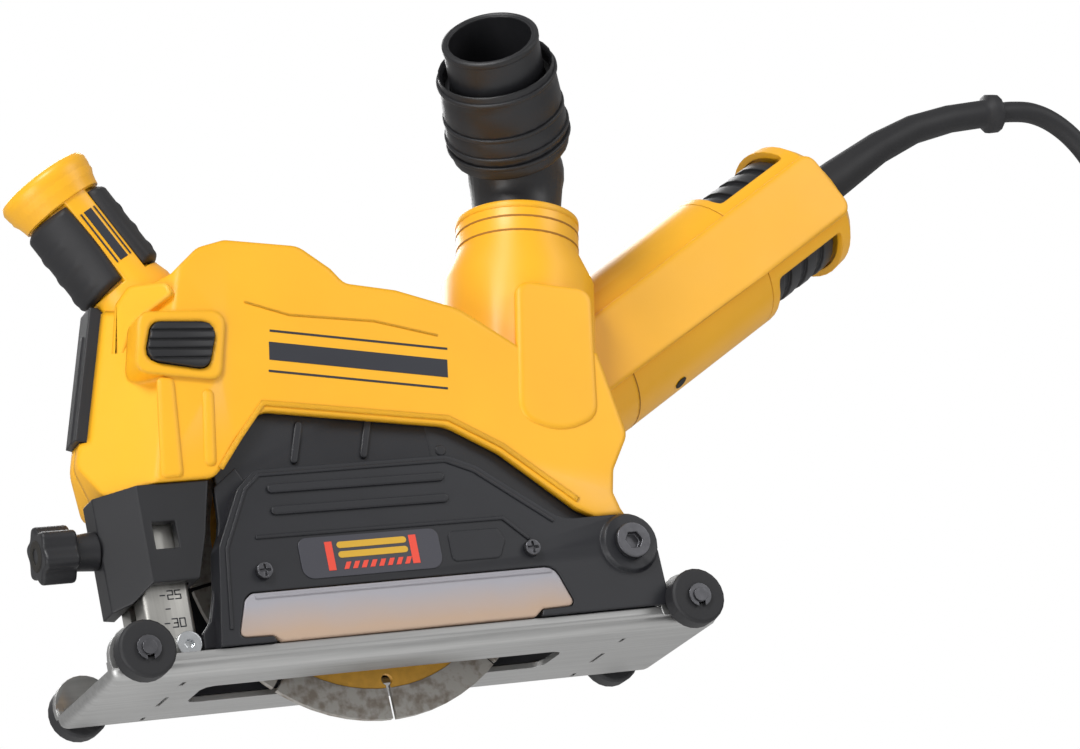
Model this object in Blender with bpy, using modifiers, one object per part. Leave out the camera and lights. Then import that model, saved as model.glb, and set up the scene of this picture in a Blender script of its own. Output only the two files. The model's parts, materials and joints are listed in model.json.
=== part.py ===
"""Hand-held wall chaser: a 125 mm diamond disc in a plunging dust shroud, driven by a grinder motor.

Frame, in metres: the origin is the disc's centre on the spindle axis, +X points to the rear handle,
+Y to the tool's right-hand side, where the gear case is, and +Z is up, square to the sole.
The object is held as it is used: plunged against its depth stop, with the disc below the sole.
"""

import math

import bmesh
import bpy
from mathutils import Matrix, Vector

MM = 0.001
GAP = 0.3  # air left between touching pieces, mm

# ---- driving dimensions, mm and degrees ----
DISC_D = 125.0
DISC_THICK = 2.2
DISC_Y = 3.0
PIVOT_X, PIVOT_Z = 83.0, -19.0
PIVOT_BOLT_R = 4.0
BARREL_TILT = 29.5
BARREL_Y = 27.0
BARREL_R = 26.5
BARREL_WALL = 2.6
SEAM_S = 128.0
TAIL_S = 248.0
GEAR_CASE_Y0, GEAR_CASE_Y1 = 16.3, 44.0
SHROUD_Y0, SHROUD_Y1 = -29.0, 16.0
SPLIT_Y = -3.0
SHROUD_WALL = 2.7
COLUMN_BASE = (65.0, 0.0, 20.0)
COLUMN_LEAN = 11.5
COLUMN_R = 26.5
SOCKET_R = 21.5
SOCKET_BORE_R = 16.2
SOCKET_TOP = 90.4
ELBOW_H = 110.0
ELBOW_AXIS = (-0.345, -0.71, 0.614)
ELBOW_R = 15.6
SOLE_X0, SOLE_X1 = -106.0, 112.0
SOLE_HALF = 30.0
SOLE_Z = -48.6
SOLE_THICK = 2.0
SOLE_RIM_Z = -41.5
ROLLER_R, ROLLER_THICK, ROLLER_FACE = 9.7, 7.35, 38.9
AXLE_X = (-95.9, 101.0)
AXLE_Z = -41.2
AXLE_R = 2.5
ARM_Y0, ARM_Y1 = -23.5, -0.5
ARM_X0, ARM_X1 = -89.0, -72.5
ARM_TOP = 13.6
COLLAR_TOP = 15.8
HANDLE_FOOT = (-62.0, -4.0, 81.5)
HANDLE_LEAN = 29.5
HANDLE_R = 15.0
RING_TEETH, PINION_TEETH = 38, 12
RING_R = 22.0
CORD_D = 8.0
CASE_R = 30.0
CASE_NOSE_R = 20.5
NECK_R = 20.0
SLEEVE_S = 96.0
CAP_S = 200.0
COLUMN_FLAT_Y = 12.9
SPIGOT_R, SPIGOT_L = 16.7, 57.0
DISC_SLOTS = 9

ARM_MID_Y = 0.5 * (ARM_Y0 + ARM_Y1)
NOSE_Y = -3.0

barrel_dir = Vector((math.cos(math.radians(BARREL_TILT)), 0, math.sin(math.radians(BARREL_TILT))))
barrel_up = Vector((-barrel_dir.z, 0, barrel_dir.x))
column_dir = Vector((math.sin(math.radians(COLUMN_LEAN)), 0, math.cos(math.radians(COLUMN_LEAN))))
handle_dir = Vector((-math.sin(math.radians(HANDLE_LEAN)), 0, math.cos(math.radians(HANDLE_LEAN))))
elbow_dir = Vector(ELBOW_AXIS).normalized()
Y_AXIS = Vector((0, 1, 0))

PAINTS = {
    "yellow": ((0.83, 0.42, 0.03), 0.42, 0.0),
    "black": ((0.035, 0.035, 0.04), 0.5, 0.0),
    "rubber": ((0.02, 0.02, 0.022), 0.7, 0.0),
    "steel": ((0.45, 0.45, 0.44), 0.35, 1.0),
    "dark_steel": ((0.12, 0.12, 0.13), 0.4, 1.0),
    "zinc": ((0.7, 0.72, 0.74), 0.25, 1.0),
    "aluminium": ((0.3, 0.31, 0.32), 0.45, 1.0),
    "diamond": ((0.38, 0.34, 0.3), 0.7, 0.3),
    "clear": ((0.85, 0.83, 0.83), 0.2, 0.0),
}


# ---- scene, collections and materials ----
def clear_scene():
    for obj in list(bpy.data.objects):
        bpy.data.objects.remove(obj, do_unlink=True)


def new_collection(name):
    made = bpy.data.collections.new(name)
    bpy.context.scene.collection.children.link(made)
    return made


def paint(name):
    if name in bpy.data.materials:
        return bpy.data.materials[name]
    colour, rough, metal = PAINTS[name]
    made = bpy.data.materials.new(name)
    made.use_nodes = True
    shader = made.node_tree.nodes["Principled BSDF"]
    shader.inputs["Base Color"].default_value = (*colour, 1.0)
    shader.inputs["Roughness"].default_value = rough
    shader.inputs["Metallic"].default_value = metal
    return made


def add(name, mesh, material=None, matrix=None):
    """Link a mesh as a part, or as a hidden cutter when it has no material."""
    obj = bpy.data.objects.new(name, mesh)
    if matrix is not None:
        obj.matrix_world = matrix
    if material:
        PARTS.objects.link(obj)
        mesh.materials.append(paint(material))
    else:
        CUTTERS.objects.link(obj)
        obj.hide_render = True
        obj.display_type = "WIRE"
    return obj


# ---- shapes ----
def frame_on(origin, axis, side=(0, 1, 0)):
    """A matrix with its Z along axis and its origin there, both given in mm."""
    z = Vector(axis).normalized()
    x = Vector(side).cross(z)
    if x.length < 1e-6:
        x = Vector((1, 0, 0)).cross(z)
    x.normalize()
    y = z.cross(x)
    turn = Matrix((x, y, z)).transposed().to_4x4()
    return Matrix.Translation(Vector(origin) * MM) @ turn


def box(name, low, high, material=None, bevel=0.0, segments=2, square_top=False):
    """A box between two corners in mm, with its edges rounded by bevel, or all but the top ones."""
    mesh = bpy.data.meshes.new(name)
    bm = bmesh.new()
    bmesh.ops.create_cube(bm, size=1.0)
    size = [(b - a) * MM for a, b in zip(low, high)]
    middle = [(a + b) * 0.5 * MM for a, b in zip(low, high)]
    bmesh.ops.scale(bm, vec=size, verts=bm.verts)
    bmesh.ops.translate(bm, vec=middle, verts=bm.verts)
    if bevel:
        top = middle[2] + size[2] / 4
        edges = [e for e in bm.edges if not square_top or min(v.co.z for v in e.verts) < top]
        bmesh.ops.bevel(
            bm, geom=edges, offset=bevel * MM, segments=segments, profile=0.5, affect="EDGES"
        )
    bm.to_mesh(mesh)
    bm.free()
    return add(name, mesh, material)


def rod(name, start, end, radius, material=None, sides=24, end_radius=None):
    """A cylinder, or a cone, between two points in mm."""
    start, end = Vector(start), Vector(end)
    mesh = bpy.data.meshes.new(name)
    bm = bmesh.new()
    far_radius = radius if end_radius is None else end_radius
    bmesh.ops.create_cone(
        bm,
        cap_ends=True,
        segments=sides,
        radius1=radius * MM,
        radius2=far_radius * MM,
        depth=(end - start).length * MM,
    )
    bm.to_mesh(mesh)
    bm.free()
    return add(name, mesh, material, frame_on((start + end) / 2, end - start))


def filleted(corners, steps=3):
    """An outline in mm from corners (x, z, fillet radius), each round corner as an arc."""
    points = []
    count = len(corners)
    for i, (x, z, radius) in enumerate(corners):
        here = Vector((x, z))
        if not radius:
            points.append(here)
            continue
        before = (Vector(corners[i - 1][:2]) - here).normalized()
        after = (Vector(corners[(i + 1) % count][:2]) - here).normalized()
        half = before.angle(after) / 2
        reach = radius / math.tan(half)
        centre = here + (before + after).normalized() * radius / math.sin(half)
        first = here + before * reach - centre
        last = here + after * reach - centre
        sweep = first.angle_signed(last)
        for k in range(steps + 1):
            points.append(centre + Matrix.Rotation(-sweep * k / steps, 2) @ first)
    return points


def slab(name, outline, y0, y1, material=None, bevel=0.0):
    """An XZ outline in mm, thick from y0 to y1, with its rim rounded by bevel."""
    curve = bpy.data.curves.new(name, "CURVE")
    curve.dimensions = "2D"
    curve.fill_mode = "BOTH"
    curve.extrude = (y1 - y0) / 2 * MM
    spline = curve.splines.new("POLY")
    spline.points.add(len(outline) - 1)
    for point, (x, z) in zip(spline.points, outline):
        point.co = (x * MM, z * MM, 0, 1)
    spline.use_cyclic_u = True
    guide = bpy.data.objects.new(name + "_outline", curve)
    CUTTERS.objects.link(guide)
    guide.rotation_euler.x = math.pi / 2
    guide.location.y = (y0 + y1) / 2 * MM
    obj = as_mesh(name, guide, material)
    if bevel:
        rounding = obj.modifiers.new("rounding", "BEVEL")
        rounding.width = bevel * MM
        rounding.segments = 2
        rounding.limit_method = "ANGLE"
        rounding.angle_limit = math.radians(60)
    return obj


def as_mesh(name, guide, material=None):
    """Turn a curve object into a closed mesh object with welded caps, and remove the curve."""
    bpy.context.view_layer.update()
    graph = bpy.context.evaluated_depsgraph_get()
    mesh = bpy.data.meshes.new_from_object(guide.evaluated_get(graph))
    place = guide.matrix_world.copy()
    mesh.materials.clear()
    bm = bmesh.new()
    bm.from_mesh(mesh)
    bmesh.ops.remove_doubles(bm, verts=bm.verts, dist=1e-6)
    bmesh.ops.recalc_face_normals(bm, faces=bm.faces)
    bm.to_mesh(mesh)
    bm.free()
    bpy.data.objects.remove(guide, do_unlink=True)
    return add(name, mesh, material, place)


def turned(name, profile, origin, axis, material=None, sides=24, closed=False):
    """A turned piece: a profile of (radius, height) in mm, from its top down the outside.

    An open profile starts and ends on the axis; a closed one is a ring.
    """
    mesh = bpy.data.meshes.new(name)
    points = [(r * MM, 0, h * MM) for r, h in profile]
    edges = [(i, i + 1) for i in range(len(points) - 1)]
    if closed:
        edges.append((len(points) - 1, 0))
    mesh.from_pydata(points, edges, [])
    obj = add(name, mesh, material, frame_on(origin, axis))
    screw = obj.modifiers.new("turn", "SCREW")
    screw.axis = "Z"
    screw.steps = screw.render_steps = sides
    screw.use_merge_vertices = True
    screw.merge_threshold = 1e-6
    screw.use_normal_calculate = False
    return obj


def ring(name, inner, outer, low, high, origin, axis, material=None, sides=24):
    """A plain ring from height low to high along its axis."""
    profile = [(inner, high), (outer, high), (outer, low), (inner, low)]
    return turned(name, profile, origin, axis, material, sides, closed=True)


def smooth(route, steps):
    """Points on a Catmull-Rom curve through the route's own points, steps of them for each stretch."""
    route = [Vector(p) for p in route]
    ends = [2 * route[0] - route[1]] + route + [2 * route[-1] - route[-2]]
    points = []
    for before, here, after, beyond in zip(ends, ends[1:], ends[2:], ends[3:]):
        for k in range(steps):
            t = k / steps
            points.append(0.5 * (
                2 * here
                + (after - before) * t
                + (2 * before - 5 * here + 4 * after - beyond) * t**2
                + (3 * here - 3 * after + beyond - before) * t**3
            ))  # fmt: skip
    return points + [route[-1]]


def tube_along(name, points, radius, material, sides=3, shares=None):
    """A round bar through a list of points in mm, with its radius scaled by shares where given."""
    curve = bpy.data.curves.new(name, "CURVE")
    curve.dimensions = "3D"
    curve.bevel_depth = radius * MM
    curve.bevel_resolution = sides
    curve.use_fill_caps = True
    spline = curve.splines.new("POLY")
    spline.points.add(len(points) - 1)
    for point, place, share in zip(spline.points, points, shares or [1.0] * len(points)):
        point.co = (*(Vector(place) * MM), 1)
        point.radius = share
    guide = bpy.data.objects.new(name + "_path", curve)
    CUTTERS.objects.link(guide)
    return as_mesh(name, guide, material)


def lofted(name, loops, material, matrix):
    """A closed band through loops of equal count, from the last loop back to the first."""
    mesh = bpy.data.meshes.new(name)
    bm = bmesh.new()
    rows = [[bm.verts.new(Vector(p) * MM) for p in loop] for loop in loops]
    count = len(rows[0])
    for row, after in zip(rows, rows[1:] + rows[:1]):
        for i in range(count):
            j = (i + 1) % count
            bm.faces.new((row[i], row[j], after[j], after[i]))
    bmesh.ops.recalc_face_normals(bm, faces=bm.faces)
    bm.to_mesh(mesh)
    bm.free()
    return add(name, mesh, material, matrix)


def boolean(obj, other, operation):
    step = obj.modifiers.new(operation.lower(), "BOOLEAN")
    step.operation = operation
    step.object = other
    step.solver = "EXACT"
    return obj


def cut(obj, *cutters):
    for cutter in cutters:
        boolean(obj, cutter, "DIFFERENCE")
    return obj


def join(obj, *others):
    for other in others:
        boolean(obj, other, "UNION")
    return obj


def keep(obj, other):
    return boolean(obj, other, "INTERSECT")


def at_barrel(s, side=0.0):
    """A point in mm: s along the barrel from the spindle, then sideways in Y."""
    return barrel_dir * s + Vector((0, BARREL_Y + side, 0))


BARREL_TURN = Matrix((barrel_dir, Y_AXIS, barrel_up)).transposed().to_4x4()
BARREL_FRAME = Matrix.Translation(at_barrel(0) * MM) @ BARREL_TURN  # X along the barrel, Y the world's


def at_column(height, side=0.0):
    """A point in mm: height along the dust column from its base, then sideways in Y."""
    return Vector(COLUMN_BASE) + column_dir * height + Vector((0, side, 0))


# ---- outlines in the XZ plane: corner x, corner z, fillet radius ----
SHROUD_TOP = [
    (-92.5, 16.2, 3), (-97, 30, 8), (-82, 81, 6), (-69, 85.5, 5), (-60, 88, 4), (-50, 96, 8),
    (-40, 98.2, 6), (-14, 94.6, 8), (-4, 86, 4), (0, 80.5, 5), (18, 77, 10), (40, 69, 20),
]  # fmt: skip
SHROUD_REAR = [(62, 52, 0), (88, 50, 0), (92.5, 20, 6), (84.5, 8, 6), (82.5, 0, 2), (84.5, -7.8, 0)]
SHROUD_ARCH = [
    (74, -7.8, 0), (68, -4.5, 6), (44, 17.4, 18), (27, 28.1, 14), (-38.2, 38, 7), (-49.5, 28, 10),
    (-58.5, 16.2, 6),
]  # fmt: skip
GUARD_PANEL = [
    (-68.5, -41.1, 0), (-63, -8, 4), (-53, 11, 6), (-46, 17, 5), (23, 17, 8), (33, 12.5, 10),
    (60, -8.5, 12), (84, -8.6, 9), (93.2, -20, 8), (93.5, -41.1, 0),
]  # fmt: skip
GUARD_INNER = [
    (-56, 4, 0), (-58, 20, 8), (-40, 50, 20), (-12, 62, 25), (25, 56, 25), (52, 36, 20), (70, 4, 0),
]  # fmt: skip
GUARD_SCREWS = ((-49.5, -17.6), (46.7, -17.8))
GUARD_RIGHT = [
    (-66, -46.3, 0), (-62, -8, 6), (-56, 20, 10), (-40, 48, 18), (-12, 62, 25), (25, 56, 25), (50, 36, 20),
    (62, 4, 6), (76, -9.5, 6), (84, -9.5, 6), (92, -20, 6), (93, -46.3, 0),
]  # fmt: skip
WINDOW = [
    (-61.5, -38.6, 1.5), (-57.5, -26.5, 3), (-55, -24.6, 2), (53.5, -24.6, 5), (58.5, -38.3, 1.5),
    (46.5, -38.6, 1), (43.5, -41.0, 0), (-47, -41.0, 0), (-50, -38.8, 1),
]  # fmt: skip


# ---- sole, rollers and depth stop ----
def make_sole():
    low = (SOLE_X0, -SOLE_HALF, SOLE_Z)
    high = (SOLE_X1, SOLE_HALF, SOLE_RIM_Z)
    sole = box("sole_plate", low, high, "steel", 3.2, 3, square_top=True)
    inner_low = [v + SOLE_THICK for v in low]
    inner_high = (SOLE_X1 - SOLE_THICK, SOLE_HALF - SOLE_THICK, SOLE_RIM_Z + 30)
    cut(sole, box("sole_hollow", inner_low, inner_high, None, 1.4, 2))
    for x in (SOLE_X0, SOLE_X1):
        cut(sole, box("sole_lip_trim", (x - 5, -26, -44.2), (x + 5, 26, 0)))
    for side in (-1, 1):
        near, far = sorted((side * (SOLE_HALF + 0.2), side * (SOLE_HALF - SOLE_THICK - 0.2)))
        for x in AXLE_X:
            ear = rod("sole_ear", (x, near, AXLE_Z), (x, far, AXLE_Z), 10.4, None, 28)
            join(sole, cut(ear, box("below_ear", (x - 20, -40, -70), (x + 20, 40, SOLE_Z + 4))))
    for x in AXLE_X:
        cut(sole, rod("axle_hole", (x, -50, AXLE_Z), (x, 50, AXLE_Z), AXLE_R + GAP, None, 16))
    cut(sole, box("disc_window", (-69, -11, -60), (61, 8.5, -40), None, 4, 2))
    for x in (-78.5, 80.0):
        for y0, y1 in ((-19.5, -15), (-2, 9), (22, 26)):
            cut(sole, box("bend_slot", (x - 0.7, y0, -60), (x + 0.7, y1, -40)))
    return sole


def make_rollers():
    for end, x in zip(("front", "rear"), AXLE_X):
        tip = ROLLER_FACE + 1.6
        axle = turned(
            f"{end}_axle",
            [(0, tip), (AXLE_R, tip), (AXLE_R, -tip), (0, -tip)],
            (x, 0, AXLE_Z),
            Y_AXIS,
            "zinc",
            12,
        )
        for side, sign in (("left", -1), ("right", 1)):
            groove = ROLLER_FACE + 0.3
            centre, clip_axis = (x, 0, AXLE_Z), Vector((0, sign, 0))
            cut(axle, ring("clip_groove", 1.9, 4, groove, groove + 0.9, centre, clip_axis, None, 12))
            outer, inner = ROLLER_FACE, ROLLER_FACE - ROLLER_THICK
            profile = [
                (AXLE_R + GAP, outer), (ROLLER_R - 0.8, outer), (ROLLER_R, outer - 0.8),
                (ROLLER_R, inner + 0.8), (ROLLER_R - 0.8, inner), (AXLE_R + GAP, inner),
            ]  # fmt: skip
            turned(f"roller_{end}_{side}", profile, (x, 0, AXLE_Z), clip_axis, "rubber", 24, closed=True)
            clip = ring(
                f"axle_clip_{end}_{side}",
                2.1,
                4.1,
                groove + 0.1,
                groove + 0.7,
                (x, 0, AXLE_Z),
                clip_axis,
                "dark_steel",
                16,
            )
            mouth_low = (x - 1.2, sign * groove - 2, AXLE_Z - 6)
            cut(clip, box("clip_mouth", mouth_low, (x + 1.2, sign * groove + 2, AXLE_Z)))


def make_scale_arm():
    arm = box("scale_arm", (ARM_X0, ARM_Y0, -46.3), (ARM_X1, ARM_Y1, ARM_TOP), "steel", 1.6, 2)
    cut(arm, box("arm_hollow", (ARM_X0 + 2, ARM_Y0 + 2, -60), (ARM_X1 + 5, ARM_Y1 - 2, 60)))
    cut(arm, box("arm_slot", (ARM_X0 - 5, ARM_MID_Y - 2.6, -30), (ARM_X0 + 5, ARM_MID_Y + 2.6, 18)))
    cut(arm, rod("arm_screw_hole", (-77, -30, -37.8), (-77, -20, -37.8), 2.4, None, 16))
    screw = turned(
        "arm_screw",
        [(0, 3), (4.3, 3), (4.3, 0.4), (2.1, 0.4), (2.1, -4.6), (0, -4.6)],
        (-77, ARM_Y0, -37.8),
        (0, -1, 0),
        "zinc",
        20,
    )
    cut(screw, rod("torx", (-77, -30, -37.8), (-77, ARM_Y0 - 1.6, -37.8), 1.5, None, 6))


KNOB_Z = -0.5
COLLAR_SIDE = [
    (-105, 40), (-61, 40), (-61, COLLAR_TOP), (-65.5, -3), (-70, -17), (-86, -17.2), (-92, -22),
    (-105, -24.4),
]  # fmt: skip


def collar_outline():
    """The depth collar seen from above, as x, y pairs, its far back corner cut to clear the disc."""
    half = 0.5 * (ARM_Y1 - ARM_Y0) + 4.6
    front, side, back = ARM_X0 - 8.6, ARM_X0 + 3.0, -61.0
    near, far = ARM_MID_Y - half, ARM_MID_Y + half
    return [
        (back, near), (side, near), (front, near + 11.5), (front, far - 11.5), (side, far),
        (back - 5, far), (back, far - 5.6),
    ]  # fmt: skip


def prism_z(name, outline, z0, z1, material=None):
    """An XY outline in mm, standing from z0 to z1."""
    mesh = bpy.data.meshes.new(name)
    bm = bmesh.new()
    face = bm.faces.new([bm.verts.new((x * MM, y * MM, z0 * MM)) for x, y in outline])
    raised = bmesh.ops.extrude_face_region(bm, geom=[face])["geom"]
    lifted = [v for v in raised if isinstance(v, bmesh.types.BMVert)]
    bmesh.ops.translate(bm, vec=(0, 0, (z1 - z0) * MM), verts=lifted)
    bmesh.ops.recalc_face_normals(bm, faces=bm.faces)
    bm.to_mesh(mesh)
    bm.free()
    return add(name, mesh, material)


def make_depth_collar():
    collar = prism_z("depth_collar", collar_outline(), -24.5, COLLAR_TOP, "black")
    keep(collar, slab("collar_side", COLLAR_SIDE, -60, 40))
    low = (ARM_X0 - 0.5, ARM_Y0 - 0.5, -60)
    cut(collar, box("collar_bore", low, (ARM_X1 + 0.5, ARM_Y1 + 0.5, 60), None, 1.6, 2))
    cut(collar, box("collar_sight", (-83, -40, -6), (-75, ARM_Y0 - 0.2, 3)))
    screw_line = (Vector((-110, ARM_MID_Y, KNOB_Z)), Vector((-80, ARM_MID_Y, KNOB_Z)))
    cut(collar, rod("collar_thread", *screw_line, 2.5, None, 16))


def make_clamp_knob():
    foot = Vector((ARM_X0 - 8.9, ARM_MID_Y, KNOB_Z))
    star = []
    for i in range(12):
        radius = 9.6 if i % 2 == 0 else 7.4
        turn = math.pi * i / 6
        star.append((radius * math.cos(turn), radius * math.sin(turn)))
    knob = prism_z("clamp_knob", star, 8, 20, "black")
    knob.matrix_world = frame_on(foot, (-1, 0, 0))
    neck = turned("knob_neck", [(0, 10), (5.8, 10), (6.4, 0), (0, 0)], foot, (-1, 0, 0), None, 20)
    screw = rod("knob_screw", foot - Vector((3, 0, 0)), foot + Vector((8.4, 0, 0)), 2.1, None, 12)
    join(knob, neck, screw)


# ---- guard halves, window and pivot ----
def inset(outline, distance):
    """The outline moved inwards by distance, corner by corner."""
    points = [Vector(p) for p in outline]
    area = sum(a.x * b.y - b.x * a.y for a, b in zip(points, points[1:] + points[:1]))
    sign = 1 if area > 0 else -1
    moved = []
    for before, here, after in zip(points[-1:] + points[:-1], points, points[1:] + points[:1]):
        first = (here - before).normalized()
        second = (after - here).normalized()
        normal = Vector((-first.y - second.y, first.x + second.x)) * sign
        normal.normalize()
        spread = max(0.35, math.cos(first.angle(second) / 2))
        moved.append(here + normal * distance / spread)
    return moved


def pivot_hole(y0, y1):
    return rod("pivot_hole", (PIVOT_X, y0, PIVOT_Z), (PIVOT_X, y1, PIVOT_Z), PIVOT_BOLT_R + GAP, None, 24)


def make_guards():
    outline = filleted(GUARD_PANEL)
    left = slab("guard_left", outline, -31.5, -23.0, "black")
    trough = [(x, z - 8) if z < -30 else (x, z) for x, z in inset(outline, 2.2)]
    cut(left, slab("guard_hollow", trough, -29.3, -15))
    inner = slab("guard_inner_leaf", filleted(GUARD_INNER), -25.4, -23.2)
    cut(inner, slab("inner_trim", [(-80, -5), (90, -5), (90, 13), (-80, 13)], -40, -10))
    join(left, inner)
    boss_profile = [(0, 2), (9.6, 2), (10.6, 0), (10.6, -7.8), (0, -7.8)]
    boss_centre = (PIVOT_X, -31.5, PIVOT_Z)
    join(left, turned("pivot_boss", boss_profile, boss_centre, (0, -1, 0), None, 28))
    window_hole = [(x, z) for x, z in inset(filleted(WINDOW, 3), -0.5)]
    cut(left, slab("window_hole", [(x, z if z > -40 else z - 4) for x, z in window_hole], -40, -15))
    foot = box("guard_foot", (-66, -27.0, -46.3), (92, -24.8, -40.0))
    riser_front = box("foot_riser_front", (-65.8, -30, -41), (-62.4, -25.6, -26))
    join(left, foot, riser_front, box("foot_riser_rear", (60.5, -30, -41), (92, -25.6, -32)))
    ear_clear = rod("ear_clear", (AXLE_X[1], -30.5, AXLE_Z), (AXLE_X[1], -20, AXLE_Z), 10.9, None, 28)
    cut(left, pivot_hole(-60, -10), ear_clear)
    for x, z in GUARD_SCREWS:
        cut(left, rod("guard_screw_hole", (x, -35, z), (x, -20, z), 2.0, None, 12))

    right = slab("guard_right", filleted(GUARD_RIGHT), 9.2, 11.4, "black")
    ear = rod("right_ear", (PIVOT_X, 9.2, PIVOT_Z), (PIVOT_X, 13.0, PIVOT_Z), 9.0, None, 28)
    join(right, ear)
    sweep = [spindle_seen_from_sole(angle) for angle in (0, 3, 6, 9, 12)]
    for x, z in sweep:
        cut(right, rod("spindle_room", (x, 0, z), (x, 30, z), 22.5, None, 32))
    cut(right, pivot_hole(0, 30))
    return left, right


def spindle_seen_from_sole(angle):
    """Where the spindle axis stands, in sole coordinates, when the sole has opened by angle degrees."""
    turn = math.radians(angle)
    x, z = -PIVOT_X, -PIVOT_Z
    return (
        PIVOT_X + x * math.cos(turn) + z * math.sin(turn),
        PIVOT_Z - x * math.sin(turn) + z * math.cos(turn),
    )


def make_window():
    slab("inspection_window", filleted(WINDOW, 3), -31.2, -28.7, "clear")
    for name, (x, z) in zip(("guard_screw_front", "guard_screw_rear"), GUARD_SCREWS):
        profile = [(0, 2), (2.7, 2), (2.9, 0.3), (1.7, 0.3), (1.7, -6), (0, -6)]
        screw = turned(name, profile, (x, -31.5, z), (0, -1, 0), "dark_steel", 16)
        cut(screw, box("cross_a", (x - 2, -40, z - 0.4), (x + 2, -32.5, z + 0.4)))
        cut(screw, box("cross_b", (x - 0.4, -40, z - 2), (x + 0.4, -32.5, z + 2)))


def make_pivot():
    bolt = turned(
        "pivot_bolt",
        [
            (0, 0), (6.2, 0), (6.2, -2.2), (PIVOT_BOLT_R, -2.2), (PIVOT_BOLT_R, -51.0), (3.0, -51.0),
            (3.0, -57.5), (0, -57.5),
        ],
        (PIVOT_X, -36.0, PIVOT_Z),
        (0, -1, 0),
        "dark_steel",
        24,
    )  # fmt: skip
    cut(bolt, rod("hex_socket", (PIVOT_X, -40, PIVOT_Z), (PIVOT_X, -33.6, PIVOT_Z), 3.1, None, 6))
    ring("pivot_nut", 3.9, 6.6, 0, 4.0, (PIVOT_X, 16.4, PIVOT_Z), Y_AXIS, "dark_steel", 6)


# ---- shroud ----
def shroud_solid(name, y0, y1, hollow_y0, hollow_y1, extras=()):
    """Half of the shroud: a slab of its outline with the chamber taken out and the nose corners cut."""
    shell = slab(name, filleted(SHROUD_TOP + SHROUD_REAR + SHROUD_ARCH), y0, y1, "yellow")
    join(shell, *extras)
    below = [(70, -40, 0), (-93, -40, 0)]
    room_outline = inset(filleted(SHROUD_TOP + SHROUD_REAR + below), SHROUD_WALL)
    room = slab(name + "_room", room_outline, hollow_y0, hollow_y1)
    for side in (-1, 1):
        cut(shell, nose_cutter(side))
        cut(room, nose_cutter(side, SHROUD_WALL * 1.41))
    cut(shell, room, spine_block("spine_room", GAP))
    cut(shell, rod("handle_foot_room", at_handle(-12), at_handle(60), HANDLE_R + GAP, None, 32))
    return shell


def spine_block(name, grow=0.0, material=None):
    """The tapered strip that closes the nose between the two shroud halves."""
    foot, head = Vector((-93.5, 0, 38)), Vector((-80, 0, 84))
    side = (head - foot).normalized()
    half, deep, proud = 6.5 + grow, 5.0 + grow, 3.0 + grow
    outline = [(-proud, -half + 1.5), (deep, -half), (deep, half), (-proud, half - 1.5)]
    spine = prism_z(name, outline, -grow, (head - foot).length + grow, material)
    spine.matrix_world = frame_on(foot + Vector((0, NOSE_Y, 0)), side, (0, 1, 0))
    return spine


def nose_cutter(side, inwards=0.0):
    """A block that slices one front corner of the shroud at 45 degrees, leaning with the nose."""
    lean = Vector((15, 0, 51)).normalized()
    along = Vector((1, side, 0)).normalized()
    normal = lean.cross(along).normalized() * side
    corner = Vector((-90.5 + inwards, NOSE_Y + side * 7, 42))
    block = box("nose_block", (-120, -120, -60), (120, 120, 60))
    turn = Matrix((along, normal.cross(along), normal)).transposed().to_4x4()
    block.matrix_world = Matrix.Translation((corner + normal * 60) * MM) @ turn
    return block


def column_profile(low, grow=0.0):
    """The dust column's outside above height low, as radius and height."""
    return [
        (0, SOCKET_TOP + grow), (SOCKET_R + grow, SOCKET_TOP + grow), (SOCKET_R + grow, 78),
        (COLUMN_R + grow, 67), (COLUMN_R + grow, low), (0, low),
    ]  # fmt: skip


def lug(name, y0, y1):
    """A hinge ear on the pivot and the web that ties it to the shroud's rear wall."""
    ear = rod(name, (PIVOT_X, y0, PIVOT_Z), (PIVOT_X, y1, PIVOT_Z), 9.5, None, 28)
    web = [(72, 2), (84.5, 2), (92, -14), (76, -18)]
    return join(ear, slab(name + "_web", [Vector(p) for p in web], y0, y1))


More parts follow.
